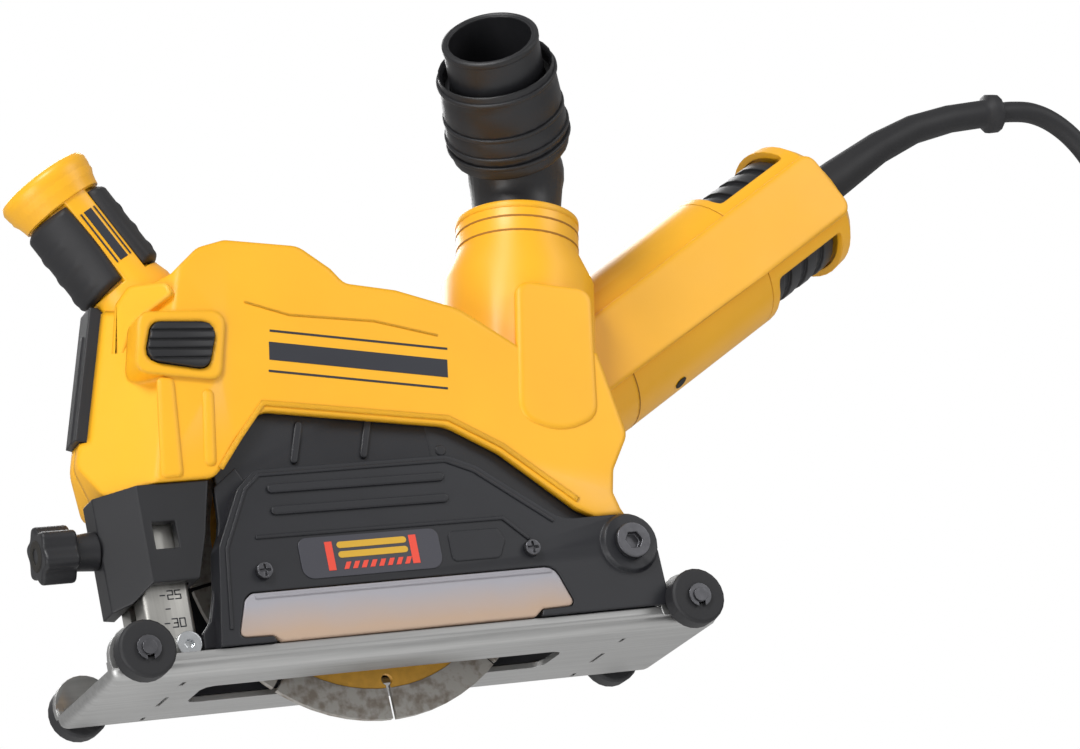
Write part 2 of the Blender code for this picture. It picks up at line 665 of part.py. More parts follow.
def make_shroud():
    upper = turned("dust_column", column_profile(31), COLUMN_BASE, column_dir, None, 40)
    foot_profile = [(0, 33), (COLUMN_R, 33), (COLUMN_R, 4), (COLUMN_R - 6, -10), (0, -10)]
    lower = turned("column_foot", foot_profile, COLUMN_BASE, column_dir, None, 40)
    cut(lower, box("foot_limit", (-100, SPLIT_Y - GAP / 2, -100), (200, 100, 200)))
    cut(upper, box("column_flat", (-100, COLUMN_FLAT_Y, -100), (200, 100, 70)))
    inner_y0 = SHROUD_Y0 + SHROUD_WALL
    left = shroud_solid("shroud_left", SHROUD_Y0, SPLIT_Y - GAP / 2, inner_y0, 40, (lower, upper))
    join(left, lug("left_lug", SHROUD_Y0 + 6.3, SHROUD_Y0 + 9.3))
    cut(left, rod("dust_way", at_column(-30, -5), at_column(63, -5), SOCKET_BORE_R - 1.5, None, 32))
    cut(left, rod("socket_bore", at_column(60), at_column(100), SOCKET_BORE_R, None, 32))
    cut(left, rod("fan_room", at_barrel(110.5), at_barrel(123.5), 21.2, None, 36))
    cut(left, pivot_hole(-60, 10))
    join(left, slab("button_boss", filleted(button_outline(4.0)), SHROUD_Y0 - 1.2, -18.9))
    cut(left, slab("button_room", filleted(button_outline(0.4), 3), -40, -18))

    inner_y1 = SHROUD_Y1 - SHROUD_WALL
    right = shroud_solid("shroud_right", SPLIT_Y + GAP / 2, SHROUD_Y1, -40, inner_y1)
    join(right, rod("barrel_sleeve", at_barrel(SLEEVE_S), at_barrel(SEAM_S), BARREL_R, None, 48))
    join(right, lug("right_lug", inner_y1 + 0.15, SHROUD_Y1 - 0.15))
    cut(right, rod("sleeve_bore", at_barrel(70), at_barrel(SEAM_S + 5), BARREL_R - BARREL_WALL, None, 40))
    room = turned("column_room", column_profile(27, 0.5), COLUMN_BASE, column_dir, None, 40)
    cut(room, box("room_flat", (-100, COLUMN_FLAT_Y + GAP, -100), (200, 100, 70 - GAP)))
    cut(right, room)
    cut(right, rod("gear_nose_room", (0, 0, 0), (0, 30, 0), CASE_NOSE_R + GAP, None, 32))
    cut(right, pivot_hole(0, 30))


def button_outline(grow=0.0):
    """The lock button's leaning outline, as corners with fillets."""
    return [
        (-75.9 - grow, 57.6 - grow, 4), (-71.0 - grow, 70.4 + grow, 4),
        (-48.4 + grow, 69.0 + grow, 4), (-54.6 + grow, 52.9 - grow, 4),
    ]  # fmt: skip


def make_lock_button():
    button = slab("lock_button", filleted(button_outline(), 3), -31.5, -22.5, "black", 0.8)
    for i in range(5):
        z = 55.4 + 3.2 * i
        groove = [(-80, z + 2.2), (-40, z), (-40, z + 1.0), (-80, z + 3.2)]
        cut(button, slab("button_groove", [Vector(p) for p in groove], -40, -30.8))


# ---- front handle ----
def at_handle(height):
    """A point in mm along the front handle's axis from its foot."""
    return Vector(HANDLE_FOOT) + handle_dir * height


def make_handle():
    core = turned(
        "handle_core",
        [
            (0, 58), (13.5, 58), (16.2, 56), (16.4, 51), (HANDLE_R - 1.2, 46), (HANDLE_R - 1.2, 12),
            (HANDLE_R, 8), (HANDLE_R, -7), (0, -7),
        ],
        HANDLE_FOOT,
        handle_dir,
        "yellow",
        28,
    )  # fmt: skip
    bed_r, strip = 11.6, 4.8
    grip_r, groove_r = HANDLE_R + 0.9, HANDLE_R + 0.4
    grip_profile = [(bed_r, 45), (HANDLE_R + 0.2, 45), (grip_r, 42)]
    for i in range(4):
        height = 36 - 5 * i
        grip_profile += [(grip_r, height + 1.6), (groove_r, height + 1.4)]
        grip_profile += [(groove_r, height), (grip_r, height - 0.2)]
    grip_profile += [(grip_r, 15.5), (HANDLE_R + 0.2, 13), (bed_r, 13)]
    for name, sign in (("handle_grip_front", 1), ("handle_grip_rear", -1)):
        grip = turned(name, grip_profile, HANDLE_FOOT, handle_dir, "rubber", 24, closed=True)
        keep(grip, handle_block("grip_keep", sign * strip, sign * 30))
        room = ring("grip_room", bed_r - GAP, 30, 13 - GAP, 45 + GAP, HANDLE_FOOT, handle_dir, None, 24)
        keep(room, handle_block("room_keep", sign * (strip - GAP), sign * 40))
        cut(core, room)
    cut(core, rod("bolt_way", at_handle(-20), at_handle(40), 4.4, None, 16))
    rod("handle_bolt", at_handle(-5), at_handle(38), 4.0, "zinc", 16)
    spine = spine_block("front_spine", 0.0, "black")
    cut(spine, rod("handle_clear", at_handle(-12), at_handle(60), HANDLE_R + GAP, None, 32))
    rib = spine_block("spine_rib")
    rib.scale = (1.12, 0.28, 0.8)
    join(spine, rib)


def handle_block(name, low, high):
    """A block beside the handle's axis, used to split the grip panels from its core."""
    low, high = sorted((low, high))
    block = box(name, (low, -50, 0), (high, 50, 60))
    block.matrix_world = frame_on(HANDLE_FOOT, handle_dir, (0, -1, 0))
    return block


# ---- gear case, motor and tail ----
def make_gear_case():
    case = rod("gear_case", (0, GEAR_CASE_Y0, 0), (0, GEAR_CASE_Y1, 0), CASE_R, "aluminium", 48)
    nose = rod("case_nose", (0, 8.6, 0), (0, GEAR_CASE_Y0 + 1, 0), CASE_NOSE_R, None, 36)
    neck = rod("case_neck", at_barrel(0), at_barrel(SLEEVE_S + 1), NECK_R, None, 40)
    cut(neck, box("neck_flat", (-100, -60, -100), (200, GEAR_CASE_Y0, 200)))
    join(case, nose, neck)
    cut(case, rod("gear_room", (0, 25, 0), (0, 60, 0), CASE_R - 3.5, None, 40))
    cut(case, rod("spindle_bearing_seat", (0, 16.7, 0), (0, 26, 0), 14.3, None, 32))
    cut(case, rod("spindle_way", (0, 0, 0), (0, 30, 0), 8.6, None, 24))
    cut(case, rod("pinion_room", at_barrel(8), at_barrel(30), 9.0, None, 24))
    cut(case, rod("shaft_way", at_barrel(10), at_barrel(110), 7.0, None, 24))
    cut(case, rod("front_bearing_seat", at_barrel(87.7), at_barrel(110), 12.3, None, 28))
    cut(case, rod("lock_way", at_barrel(48, 14), at_barrel(48, 40), 5.9, None, 20))
    cover = turned(
        "bearing_cover",
        [(0, 52), (20, 52), (26, 48.5), (26, 44.3), (0, 44.3)],
        (0, 0, 0),
        Y_AXIS,
        "aluminium",
        36,
    )
    cut(cover, rod("cover_room", (0, 40, 0), (0, 48.5, 0), 9.5, None, 24))
    lock = [(0, 26), (4.6, 26), (5.5, 25), (5.5, 18.5), (0, 18.5)]
    turned("spindle_lock_button", lock, at_barrel(48), Y_AXIS, "black", 20)


def make_motor():
    """Motor housing, tail cap and the parts inside them, all on the barrel's axis."""
    start, axis = at_barrel(0), barrel_dir
    inner = BARREL_R - BARREL_WALL
    housing = ring("motor_housing", inner, BARREL_R, SEAM_S + GAP, CAP_S, start, axis, "yellow", 40)
    cut(housing, turned("housing_clear", column_profile(28, 0.4), COLUMN_BASE, column_dir, None, 40))
    cap_profile = [
        (0, TAIL_S), (BARREL_R - 4, TAIL_S), (BARREL_R - 0.5, TAIL_S - 4), (BARREL_R, TAIL_S - 9),
        (BARREL_R, CAP_S + GAP), (inner, CAP_S + GAP), (inner, TAIL_S - 6), (0, TAIL_S - 6),
    ]  # fmt: skip
    cap = turned("tail_cap", cap_profile, start, axis, "yellow", 40)
    for sign in (-1, 1):
        low, high = sorted((sign * 16, sign * 40))
        opening = box("inlet_opening", (CAP_S + 4, -20.5, low), (TAIL_S - 9, 20.5, high), None, 2, 2)
        opening.matrix_world = BARREL_FRAME
        cut(cap, opening)
    cut(cap, rod("boot_hole", at_barrel(220), at_barrel(TAIL_S + 10), 8.1, None, 24))
    inlet = [(20.8, TAIL_S - 11), (inner - GAP, TAIL_S - 11)]
    for i in range(3):
        s = TAIL_S - 20 - 9 * i
        inlet += [(inner - GAP, s + 4), (22.4, s + 4), (22.4, s), (inner - GAP, s)]
    inlet += [(inner - GAP, CAP_S + 3), (20.8, CAP_S + 3)]
    turned("air_inlet_ring", inlet, start, axis, "black", 28, closed=True)

    ring("field_stator", 15.8, inner - 0.6, 138, 190, start, axis, "dark_steel", 40)
    shaft = [
        (0, 222), (4, 222), (4, 209), (10, 208), (10, 196), (5, 195), (5, 191), (15, 190), (15, 138),
        (5, 137), (5, 24.3), (2.9, 24.3), (2.9, 14.3), (0, 14.3),
    ]  # fmt: skip
    turned("armature", shaft, start, axis, "steel", 24)
    fan = ring("cooling_fan", 5.3, 20.0, 112, 114, start, axis, "black", 32)
    for i in range(8):
        blade = box("fan_blade", (6, -0.8, 113), (19.5, 0.8, 121))
        blade.matrix_world = frame_on(start, axis) @ Matrix.Rotation(math.pi * i / 4, 4, "Z")
        join(fan, blade)
    ring("armature_bearing_front", 5.3, 12.0, 88, 95.7, start, axis, "steel", 32)
    ring("armature_bearing_rear", 4.3, 9.5, 214, 220, start, axis, "steel", 28)
    for number, sign in (("1", -1), ("2", 1)):
        low, high = sorted((sign * 10.4, sign * 20.0))
        brush = box(f"carbon_brush_{number}", (199, low, -2), (205, high, 2), "black")
        brush.matrix_world = BARREL_FRAME
    switch = box("power_switch", (150, BARREL_R + GAP, -6), (172, BARREL_R + 3.6, 6), "black", 1.2, 2)
    switch.matrix_world = BARREL_FRAME


# ---- spindle, bevel gears and disc ----
def make_spindle():
    centre = (0, 0, 0)
    spindle_profile = [(0, 46), (8, 46), (8, 8.3), (7, 8.3), (7, -5), (6, -6), (0, -6)]
    turned("spindle", spindle_profile, centre, Y_AXIS, "steel", 28)
    ring("spindle_bearing", 8.3, 14.0, 17, 24, centre, Y_AXIS, "steel", 32)
    inner = [(7.3, 8), (20, 8), (20, 4.4), (10.8, 4.4), (10.8, 2.2), (7.3, 2.2)]
    turned("inner_flange", inner, centre, Y_AXIS, "zinc", 28, closed=True)
    outer = [(7.3, 1.6), (17, 1.6), (17, -1.4), (12, -3), (7.3, -3)]
    flange = turned("outer_flange", outer, centre, Y_AXIS, "zinc", 28, closed=True)
    for sign in (-1, 1):
        cut(flange, rod("pin_hole", (sign * 11.5, -6, 0), (sign * 11.5, 0, 0), 1.8, None, 12))

    low, high = DISC_Y - DISC_THICK / 2, DISC_Y + DISC_THICK / 2
    core_low, core_high = low + 0.3, high - 0.3
    rim_inner = DISC_D / 2 - 10.5
    profile = [
        (11.1, core_high), (rim_inner, core_high), (rim_inner, high), (DISC_D / 2, high),
        (DISC_D / 2, low), (rim_inner, low), (rim_inner, core_low), (11.1, core_low),
    ]  # fmt: skip
    disc = turned("diamond_disc", profile, centre, Y_AXIS, "diamond", 63, closed=True)
    for i in range(DISC_SLOTS):
        turn = 2 * math.pi * i / DISC_SLOTS - math.radians(1)
        slot = box("disc_slot", (-0.75, -20, -DISC_D / 2 - 5), (0.75, 20, -rim_inner + 3))
        slot.matrix_world = Matrix.Rotation(turn, 4, "Y")
        x, z = -math.sin(turn) * (rim_inner - 3), -math.cos(turn) * (rim_inner - 3)
        cut(disc, slot, rod("slot_eye", (x, -20, z), (x, 20, z), 2.0, None, 12))


def tooth_loop(teeth, radius, root, tip, phase, place):
    """One loop of a toothed profile: place(turn, offset) for the corners of each tooth in turn."""
    points = []
    for k in range(teeth):
        for share, offset in ((-0.25, root), (-0.13, tip), (0.13, tip), (0.25, root)):
            turn = phase + 2 * math.pi * (k + share) / teeth
            points.append(place(turn, radius, offset * radius / RING_R))
    return points


def make_gears():
    slope = PINION_TEETH / RING_TEETH

    def on_ring(turn, radius, offset):
        return (radius * math.cos(turn), radius * math.sin(turn), radius * slope + offset)

    def flat(radius, height):
        return tooth_loop(RING_TEETH, radius, 0, 0, 0, lambda turn, r, offset: (
            r * math.cos(turn), r * math.sin(turn), height
        ))  # fmt: skip

    ring_loops = [tooth_loop(RING_TEETH, r, 1.1, -0.5, 0, on_ring) for r in (15.5, 21.8)]
    ring_loops += [flat(21.8, 13), flat(8.3, 13), flat(8.3, 8.5)]
    lofted("ring_gear", ring_loops, "dark_steel", toothed_frame(Y_AXIS, barrel_dir))

    def on_pinion(turn, s, offset):
        reach = s * slope + offset
        return (reach * math.cos(turn), reach * math.sin(turn), s)

    half_tooth = math.pi / PINION_TEETH
    pinion_loops = [tooth_loop(PINION_TEETH, s, -1.1, 0.5, half_tooth, on_pinion) for s in (15.0, 22.0)]

    def bore(s):
        return tooth_loop(PINION_TEETH, s, 0, 0, half_tooth, lambda turn, height, offset: (
            3.2 * math.cos(turn), 3.2 * math.sin(turn), height
        ))  # fmt: skip

    pinion_loops += [bore(22.0), bore(15.0)]
    lofted("pinion", pinion_loops, "dark_steel", toothed_frame(barrel_dir, Y_AXIS))


def toothed_frame(axis, first_tooth):
    """A frame at the two gears' shared apex: Z along the gear's axis, X to its first tooth."""
    turn = Matrix((first_tooth, axis.cross(first_tooth), axis)).transposed().to_4x4()
    return Matrix.Translation(Vector((0, BARREL_Y, 0)) * MM) @ turn


# ---- dust elbow and hose adaptor ----
def make_elbow():
    corner = at_column(ELBOW_H)
    tip = corner + elbow_dir * SPIGOT_L
    elbow = rod("dust_elbow", at_column(62), at_column(ELBOW_H - 2), ELBOW_R, "black", 28)
    flare = rod("elbow_flare", at_column(94), corner, ELBOW_R - 0.2, None, 28, ELBOW_R + 1.2)
    knee = ball("elbow_knee", corner, ELBOW_R + 1.5)
    join(elbow, flare, knee, rod("elbow_spigot", corner, tip, SPIGOT_R, None, 28))
    bore = ELBOW_R - 2.0
    cut(elbow, rod("elbow_bore_low", at_column(50), corner, bore, None, 24))
    cut(elbow, ball("elbow_bore_knee", corner, bore))
    cut(elbow, rod("elbow_bore_high", corner, corner + elbow_dir * 80, bore + 1.0, None, 24))

    profile = [
        (SPIGOT_R + 2.2, 44), (20.2, 46), (20.6, 43), (19.9, 41), (20.6, 38), (21.0, 30), (20.4, 28.5),
        (21.2, 27), (21.6, 19), (20.8, 17.5), (21.6, 16), (20.6, 12), (SPIGOT_R + GAP, 12),
        (SPIGOT_R + GAP, 40), (SPIGOT_R + 2.2, 40),
    ]  # fmt: skip
    collar = turned("twist_collar", profile, corner, elbow_dir, "black", 28, closed=True)
    key = box("collar_key", (20.5, -2.5, 20), (22.6, 2.5, 27))
    key.matrix_world = frame_on(corner, elbow_dir)
    join(collar, key)


def ball(name, centre, radius):
    mesh = bpy.data.meshes.new(name)
    bm = bmesh.new()
    bmesh.ops.create_uvsphere(bm, u_segments=30, v_segments=17, radius=radius * MM)
    bm.to_mesh(mesh)
    bm.free()
    return add(name, mesh, None, Matrix.Translation(Vector(centre) * MM))


# ---- cord: boot, hanging stretch, tied coil, tail and plug ----
COIL_CENTRE = Vector((366.0, 27.0, -56.0))
COIL_R0, COIL_R1 = 34.0, 58.0
COIL_LAYERS = 4
COIL_START = math.radians(140)
CORD_ROUTE = [
    (308.6, 27, 154.6), (314.9, 27, 155.0), (323.7, 27, 154.2), (331.8, 27, 150.6), (339.1, 27, 144.0),
    (345.0, 27, 134.5), (349.6, 27, 121), (352.6, 27, 104), (354.0, 26.5, 85), (353.5, 25, 64),
    (350.6, 22, 42), (344.5, 18.5, 20), (334.6, 16, -1.5),
]  # fmt: skip


def coil_point(radius, angle, layer):
    side = (layer - (COIL_LAYERS - 1) / 2) * CORD_D
    return COIL_CENTRE + Vector((radius * math.cos(angle), side, radius * math.sin(angle)))


def make_cord():
    tail = at_barrel(TAIL_S)
    boot_route = [
        at_barrel(TAIL_S - 9), tail, at_barrel(TAIL_S + 18), (253, BARREL_Y, 142.6), (270, BARREL_Y, 149.4),
        (287, BARREL_Y, 153.1), (300.5, BARREL_Y, 154.4), (303.4, BARREL_Y, 154.5),
        (304.4, BARREL_Y, 154.5), (308.2, BARREL_Y, 154.6),
    ]  # fmt: skip
    shares = [1.0, 1.0, 0.93, 0.78, 0.71, 0.68, 0.68, 0.7, 0.96, 0.94]
    tube_along("cord_boot", boot_route, 7.8, "rubber", 5, shares)

    coil_half = COIL_LAYERS * CORD_D / 2
    inner, outer = COIL_R0 - CORD_D / 2, COIL_R1 + CORD_D / 2
    ring("cord_coil", inner, outer, -coil_half, coil_half, COIL_CENTRE, Y_AXIS, "rubber", 40)
    coil_room = turned(
        "coil_room",
        [(0, coil_half + GAP), (outer + GAP, coil_half + GAP), (outer + GAP, -coil_half - GAP),
         (0, -coil_half - GAP)],
        COIL_CENTRE,
        Y_AXIS,
        None,
        40,
    )  # fmt: skip
    start = coil_point(COIL_R1, COIL_START, 0)
    tube = tube_along("cord_tube", smooth(CORD_ROUTE + [start], 2), CORD_D / 2, "rubber")
    end = coil_point(COIL_R1, math.pi, COIL_LAYERS - 1)
    plug_top = end - Vector((0, 0, 74))
    tail = rod("cord_end", end, plug_top, CORD_D / 2, "rubber", 12)
    cut(tube, coil_room)
    cut(tail, coil_room)

    tie = box("coil_tie", (-5, -coil_half - 2, inner - 2), (5, coil_half + 2, outer + 2), "black")
    tie_room = box("tie_room", (-9, -coil_half - GAP, inner - 0.7), (9, coil_half + GAP, outer + GAP))
    tie.location = tie_room.location = COIL_CENTRE * MM
    cut(tie, tie_room)
    profile = [
        (0, 0), (5, 0), (7.5, -10), (15.5, -16), (17, -20), (17, -36), (16, -38), (0, -38),
    ]  # fmt: skip
    plug = turned("plug", profile, plug_top - Vector((0, 0, GAP)), (0, 0, 1), "black", 28)
    for side in (-9.5, 9.5):
        pin = plug_top + Vector((0, side, -GAP))
        join(plug, rod("pin", pin - Vector((0, 0, 36)), pin - Vector((0, 0, 56)), 2.4, None, 12))


# ---- the model ----
clear_scene()
PARTS = new_collection("wall_chaser")
CUTTERS = new_collection("cutters")
make_sole()
make_rollers()
make_scale_arm()
make_depth_collar()
make_clamp_knob()
make_guards()
make_window()
make_pivot()
make_shroud()
make_lock_button()
make_handle()
make_gear_case()
make_motor()
make_spindle()
make_gears()
make_elbow()
make_cord()
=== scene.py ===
"""Looks of the wall chaser: camera, cord, finished surfaces, fine detail and soft studio light."""

import json
import math

import bmesh
import bpy
from mathutils import Matrix, Vector


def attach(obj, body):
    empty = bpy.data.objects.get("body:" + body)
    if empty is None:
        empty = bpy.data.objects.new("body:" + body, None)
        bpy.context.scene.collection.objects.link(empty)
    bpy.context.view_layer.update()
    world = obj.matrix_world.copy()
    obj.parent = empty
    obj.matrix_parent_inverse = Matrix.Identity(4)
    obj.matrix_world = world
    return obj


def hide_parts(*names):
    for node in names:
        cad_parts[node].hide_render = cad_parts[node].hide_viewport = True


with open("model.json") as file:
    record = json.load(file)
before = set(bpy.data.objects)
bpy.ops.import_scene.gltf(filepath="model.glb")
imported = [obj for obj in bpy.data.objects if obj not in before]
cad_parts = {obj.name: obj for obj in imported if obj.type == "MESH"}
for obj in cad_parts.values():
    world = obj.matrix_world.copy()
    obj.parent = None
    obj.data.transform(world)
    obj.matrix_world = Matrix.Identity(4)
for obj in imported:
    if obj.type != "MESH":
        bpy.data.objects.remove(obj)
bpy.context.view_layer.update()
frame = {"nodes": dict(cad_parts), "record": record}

MM = 0.001
TURN = 2 * math.pi
NODES = frame["nodes"]
BODY_OF = {
    node: body for body, nodes in frame["record"]["behaviour"]["bodies"].items() for node in nodes
}

# ---- the object's own lines, mm and degrees, as in the part's frame ----
BARREL_TILT = 29.5
BARREL_Y = 27.0
BARREL_R = 26.5
COLUMN_BASE = Vector((65.0, 0.0, 20.0))
COLUMN_LEAN = 11.5
SOCKET_R = 21.5
ELBOW_H = 110.0
ELBOW_AXIS = (-0.345, -0.71, 0.614)
HANDLE_FOOT = Vector((-62.0, -4.0, 81.5))
HANDLE_LEAN = 29.5
HANDLE_CORE_R = 13.8
SHROUD_Y = -29.0
# The left nose corner is cut off by a face that holds NOSE_EDGE and looks towards NOSE_OUT.
NOSE_EDGE = Vector((-90.5, -10.0, 42.0))
NOSE_OUT = Vector((-0.692, -0.692, 0.204))
GUARD_Y = -31.5
LEAF_Y = -25.4
WINDOW_Y = -31.2
WINDOW_FOOT = -41.0
WINDOW_TOP = -26.0
ARM_FACE_Y = -23.5
KNOB_FOOT = Vector((-97.9, -12.0, -0.5))
DISC_R = 62.5
SEGMENT_DEPTH = 11.0
CORD_D = 8.0


def leaning(degrees, forwards):
    """A unit vector in the XZ plane, leaning from +Z by degrees, towards +X or, if forwards, towards -X."""
    turn = math.radians(degrees)
    return Vector((-math.sin(turn) if forwards else math.sin(turn), 0, math.cos(turn)))


barrel_up = leaning(BARREL_TILT, True)
barrel_dir = Vector((barrel_up.z, 0, -barrel_up.x))
SCREW_OUT = Vector((0, -0.35, 0)) - 0.94 * barrel_up  # the way the barrel's lower screw faces
column_dir = leaning(COLUMN_LEAN, False)
handle_dir = leaning(HANDLE_LEAN, True)


def at_barrel(s, side=0.0):
    """A point beside the barrel's axis, at the distance s along it."""
    return barrel_dir * s + Vector((0, BARREL_Y + side, 0))


def frame_on(origin, axis, side=(0, 1, 0)):
    """A matrix with its Z along axis and its X as near to level as side allows, its origin in mm."""
    z = Vector(axis).normalized()
    x = Vector(side).cross(z).normalized()
    turn = Matrix((x, z.cross(x), z)).transposed().to_4x4()
    return Matrix.Translation(Vector(origin) * MM) @ turn


# ---- camera: its place in metres, the way it looks, and the way to its right ----
CAMERA_PLACE = (-0.566956, -1.267228, -0.365951)
CAMERA_LOOK = Vector((0.43596, 0.85442, 0.28266))
CAMERA_RIGHT = Vector((0.89786, -0.39149, -0.20144))
CAMERA_LENS = 142.4
CAMERA_SENSOR = 36.0
CAMERA_NEAR = 0.05


def make_camera():
    data = bpy.data.cameras.new("camera")
    data.sensor_width = CAMERA_SENSOR
    data.lens = CAMERA_LENS
    data.clip_start = CAMERA_NEAR
    camera = bpy.data.objects.new("camera", data)
    bpy.context.scene.collection.objects.link(camera)
    back = -CAMERA_LOOK
    up = back.cross(CAMERA_RIGHT)
    turn = Matrix((CAMERA_RIGHT, up, back)).transposed().to_4x4()
    camera.matrix_world = Matrix.Translation(CAMERA_PLACE) @ turn
    bpy.context.scene.camera = camera


# ---- materials ----
BEVEL_SAMPLES = 6


def new_material(name, rough, metal=0.0):
    made = bpy.data.materials.new(name)
    made.use_nodes = True
    tree = made.node_tree
    shader = tree.nodes["Principled BSDF"]
    shader.inputs["Roughness"].default_value = rough
    shader.inputs["Metallic"].default_value = metal
    return made, tree, shader


def noise(tree, scale, detail, stretch=None):
    """Noise over the object's own coordinates, stretched along an axis for brushed metal."""
    place = tree.nodes.new("ShaderNodeTexCoord").outputs["Object"]
    if stretch:
        mapping = tree.nodes.new("ShaderNodeMapping")
        mapping.inputs["Scale"].default_value = stretch
        tree.links.new(place, mapping.inputs["Vector"])
        place = mapping.outputs["Vector"]
    made = tree.nodes.new("ShaderNodeTexNoise")
    made.inputs["Scale"].default_value = scale
    made.inputs["Detail"].default_value = detail
    tree.links.new(place, made.inputs["Vector"])
    return made.outputs["Fac"]


def ramp(tree, source, low, high, start=0.35, end=0.65):
    """A colour that goes from low to high while source goes from start to end."""
    made = tree.nodes.new("ShaderNodeValToRGB")
    made.color_ramp.elements[0].position = start
    made.color_ramp.elements[1].position = end
    made.color_ramp.elements[0].color = (*low, 1)
    made.color_ramp.elements[1].color = (*high, 1)
    tree.links.new(source, made.inputs["Fac"])
    return made.outputs["Color"]


def span(tree, source, low, high):
    """A number that goes from low to high while source goes from 0 to 1."""
    made = tree.nodes.new("ShaderNodeMapRange")
    made.inputs["To Min"].default_value = low
    made.inputs["To Max"].default_value = high
    tree.links.new(source, made.inputs["Value"])
    return made.outputs["Result"]


def bump(tree, shader, height, strength, depth, edge):
    """Surface relief with a depth in mm, over edges that are softened to a radius in mm."""
    soft = tree.nodes.new("ShaderNodeBevel")
    soft.samples = BEVEL_SAMPLES
    soft.inputs["Radius"].default_value = edge * MM
    made = tree.nodes.new("ShaderNodeBump")
    made.inputs["Strength"].default_value = strength
    made.inputs["Distance"].default_value = depth * MM
    tree.links.new(soft.outputs["Normal"], made.inputs["Normal"])
    tree.links.new(height, made.inputs["Height"])
    tree.links.new(made.outputs["Normal"], shader.inputs["Normal"])


def plastic(name, colour, rough, grain, vary, coat=0.0, edge=0.7):
    """Moulded plastic: a fine spark-eroded grain, slow flow-mark colour drift and handled sheen."""
    made, tree, shader = new_material(name, rough)
    flow_marks = noise(tree, 22, 3)
    handling = noise(tree, 60, 5)
    spark_grain = noise(tree, 2600, 2)
    darker = tuple(c * (1 - vary) for c in colour)
    lighter = tuple(min(1.0, c * (1 + vary * 0.6)) for c in colour)
    tree.links.new(ramp(tree, flow_marks, darker, lighter), shader.inputs["Base Color"])
    tree.links.new(span(tree, handling, rough - 0.07, rough + 0.09), shader.inputs["Roughness"])
    bump(tree, shader, spark_grain, grain, 0.06, edge)
    shader.inputs["Coat Weight"].default_value = coat
    shader.inputs["Coat Roughness"].default_value = 0.25
    return made


def brushed(name, colour, rough, stretch, vary, grain, metal=1.0):
    """Sheet or turned metal: fine lines along one direction over slow smudges."""
    made, tree, shader = new_material(name, rough, metal)
    lines = noise(tree, 90, 6, stretch)
    smudges = noise(tree, 30, 6)
    darker = tuple(c * (1 - vary) for c in colour)
    lighter = tuple(min(1.0, c * (1 + vary)) for c in colour)
    tree.links.new(ramp(tree, lines, darker, lighter, 0.3, 0.7), shader.inputs["Base Color"])
    tree.links.new(span(tree, smudges, rough - 0.08, rough + 0.14), shader.inputs["Roughness"])
    bump(tree, shader, lines, grain, 0.08, 0.4)
    return made


def sintered(name):
    """The disc's segment: grey sintered metal with pits and brown grit."""
    made, tree, shader = new_material(name, 0.62, 0.2)
    grit = noise(tree, 300, 8)
    speckle = ramp(tree, grit, (0.21, 0.18, 0.15), (0.36, 0.345, 0.32), 0.34, 0.56)
    tree.links.new(speckle, shader.inputs["Base Color"])
    bump(tree, shader, grit, 0.45, 0.2, 0.3)
    return made


def clear_plastic(name):
    """The inspection window: hazy polycarbonate, dusty and warmer towards its foot by the disc."""
    made, tree, shader = new_material(name, 0.2)
    place = tree.nodes.new("ShaderNodeSeparateXYZ")
    tree.links.new(tree.nodes.new("ShaderNodeTexCoord").outputs["Object"], place.inputs["Vector"])
    height = tree.nodes.new("ShaderNodeMapRange")
    height.inputs["From Min"].default_value = WINDOW_FOOT * MM
    height.inputs["From Max"].default_value = WINDOW_TOP * MM
    tree.links.new(place.outputs["Z"], height.inputs["Value"])
    cloud = tree.nodes.new("ShaderNodeMath")
    tree.links.new(height.outputs["Result"], cloud.inputs[0])
    dust = noise(tree, 40, 4)
    scratches = noise(tree, 80, 5)
    ripple = noise(tree, 300, 3)
    tree.links.new(span(tree, dust, -0.25, 0.25), cloud.inputs[1])
    haze = ramp(tree, cloud.outputs["Value"], (0.60, 0.44, 0.33), (0.47, 0.46, 0.50), 0.15, 0.85)
    tree.links.new(haze, shader.inputs["Base Color"])
    tree.links.new(span(tree, scratches, 0.14, 0.34), shader.inputs["Roughness"])
    shader.inputs["IOR"].default_value = 1.46
    shader.inputs["Alpha"].default_value = 0.72
    bump(tree, shader, ripple, 0.08, 0.1, 1.2)
    return made


YELLOW_COLOUR = (0.92, 0.45, 0.010)
LABEL_LOOK = {"rough": 0.4, "grain": 0.08, "vary": 0.05, "edge": 0.1}

YELLOW = plastic("yellow_plastic", YELLOW_COLOUR, 0.38, grain=0.2, vary=0.04, coat=0.1, edge=2.6)
YELLOW_FINE = plastic("yellow_plastic_fine", YELLOW_COLOUR, 0.38, grain=0.2, vary=0.04, coat=0.1)
BLACK = plastic("black_plastic", (0.013, 0.0132, 0.0155), 0.42, grain=0.35, vary=0.18, edge=0.9)
SOFT_BLACK = plastic("grip_rubber", (0.012, 0.012, 0.014), 0.58, grain=0.5, vary=0.2)
GUARD_GREY = plastic("guard_plastic", (0.014, 0.0145, 0.018), 0.40, grain=0.35, vary=0.14, edge=0.8)
PLATE_GREY = plastic("label_plate", (0.050, 0.050, 0.062), 0.38, grain=0.1, vary=0.06, edge=0.2)
RED = plastic("label_red", (0.75, 0.07, 0.04), **LABEL_LOOK)
LABEL_YELLOW = plastic("label_yellow", (0.62, 0.36, 0.03), **LABEL_LOOK)
MARK = plastic("printed_mark", (0.02, 0.022, 0.03), 0.45, grain=0.05, vary=0.08, edge=0.1)
SHADOW = plastic("joint_shadow", (0.015, 0.013, 0.010), 0.8, grain=0.1, vary=0.1)
# Darker yellow: painted shade in the column's grooves, and the barrel's dark joint line.
GROOVE_SHADE_AND_JOINT = plastic("yellow_groove_shade_and_joint", (0.36, 0.15, 0.01), 0.7, grain=0.1, vary=0.1, edge=0.1)
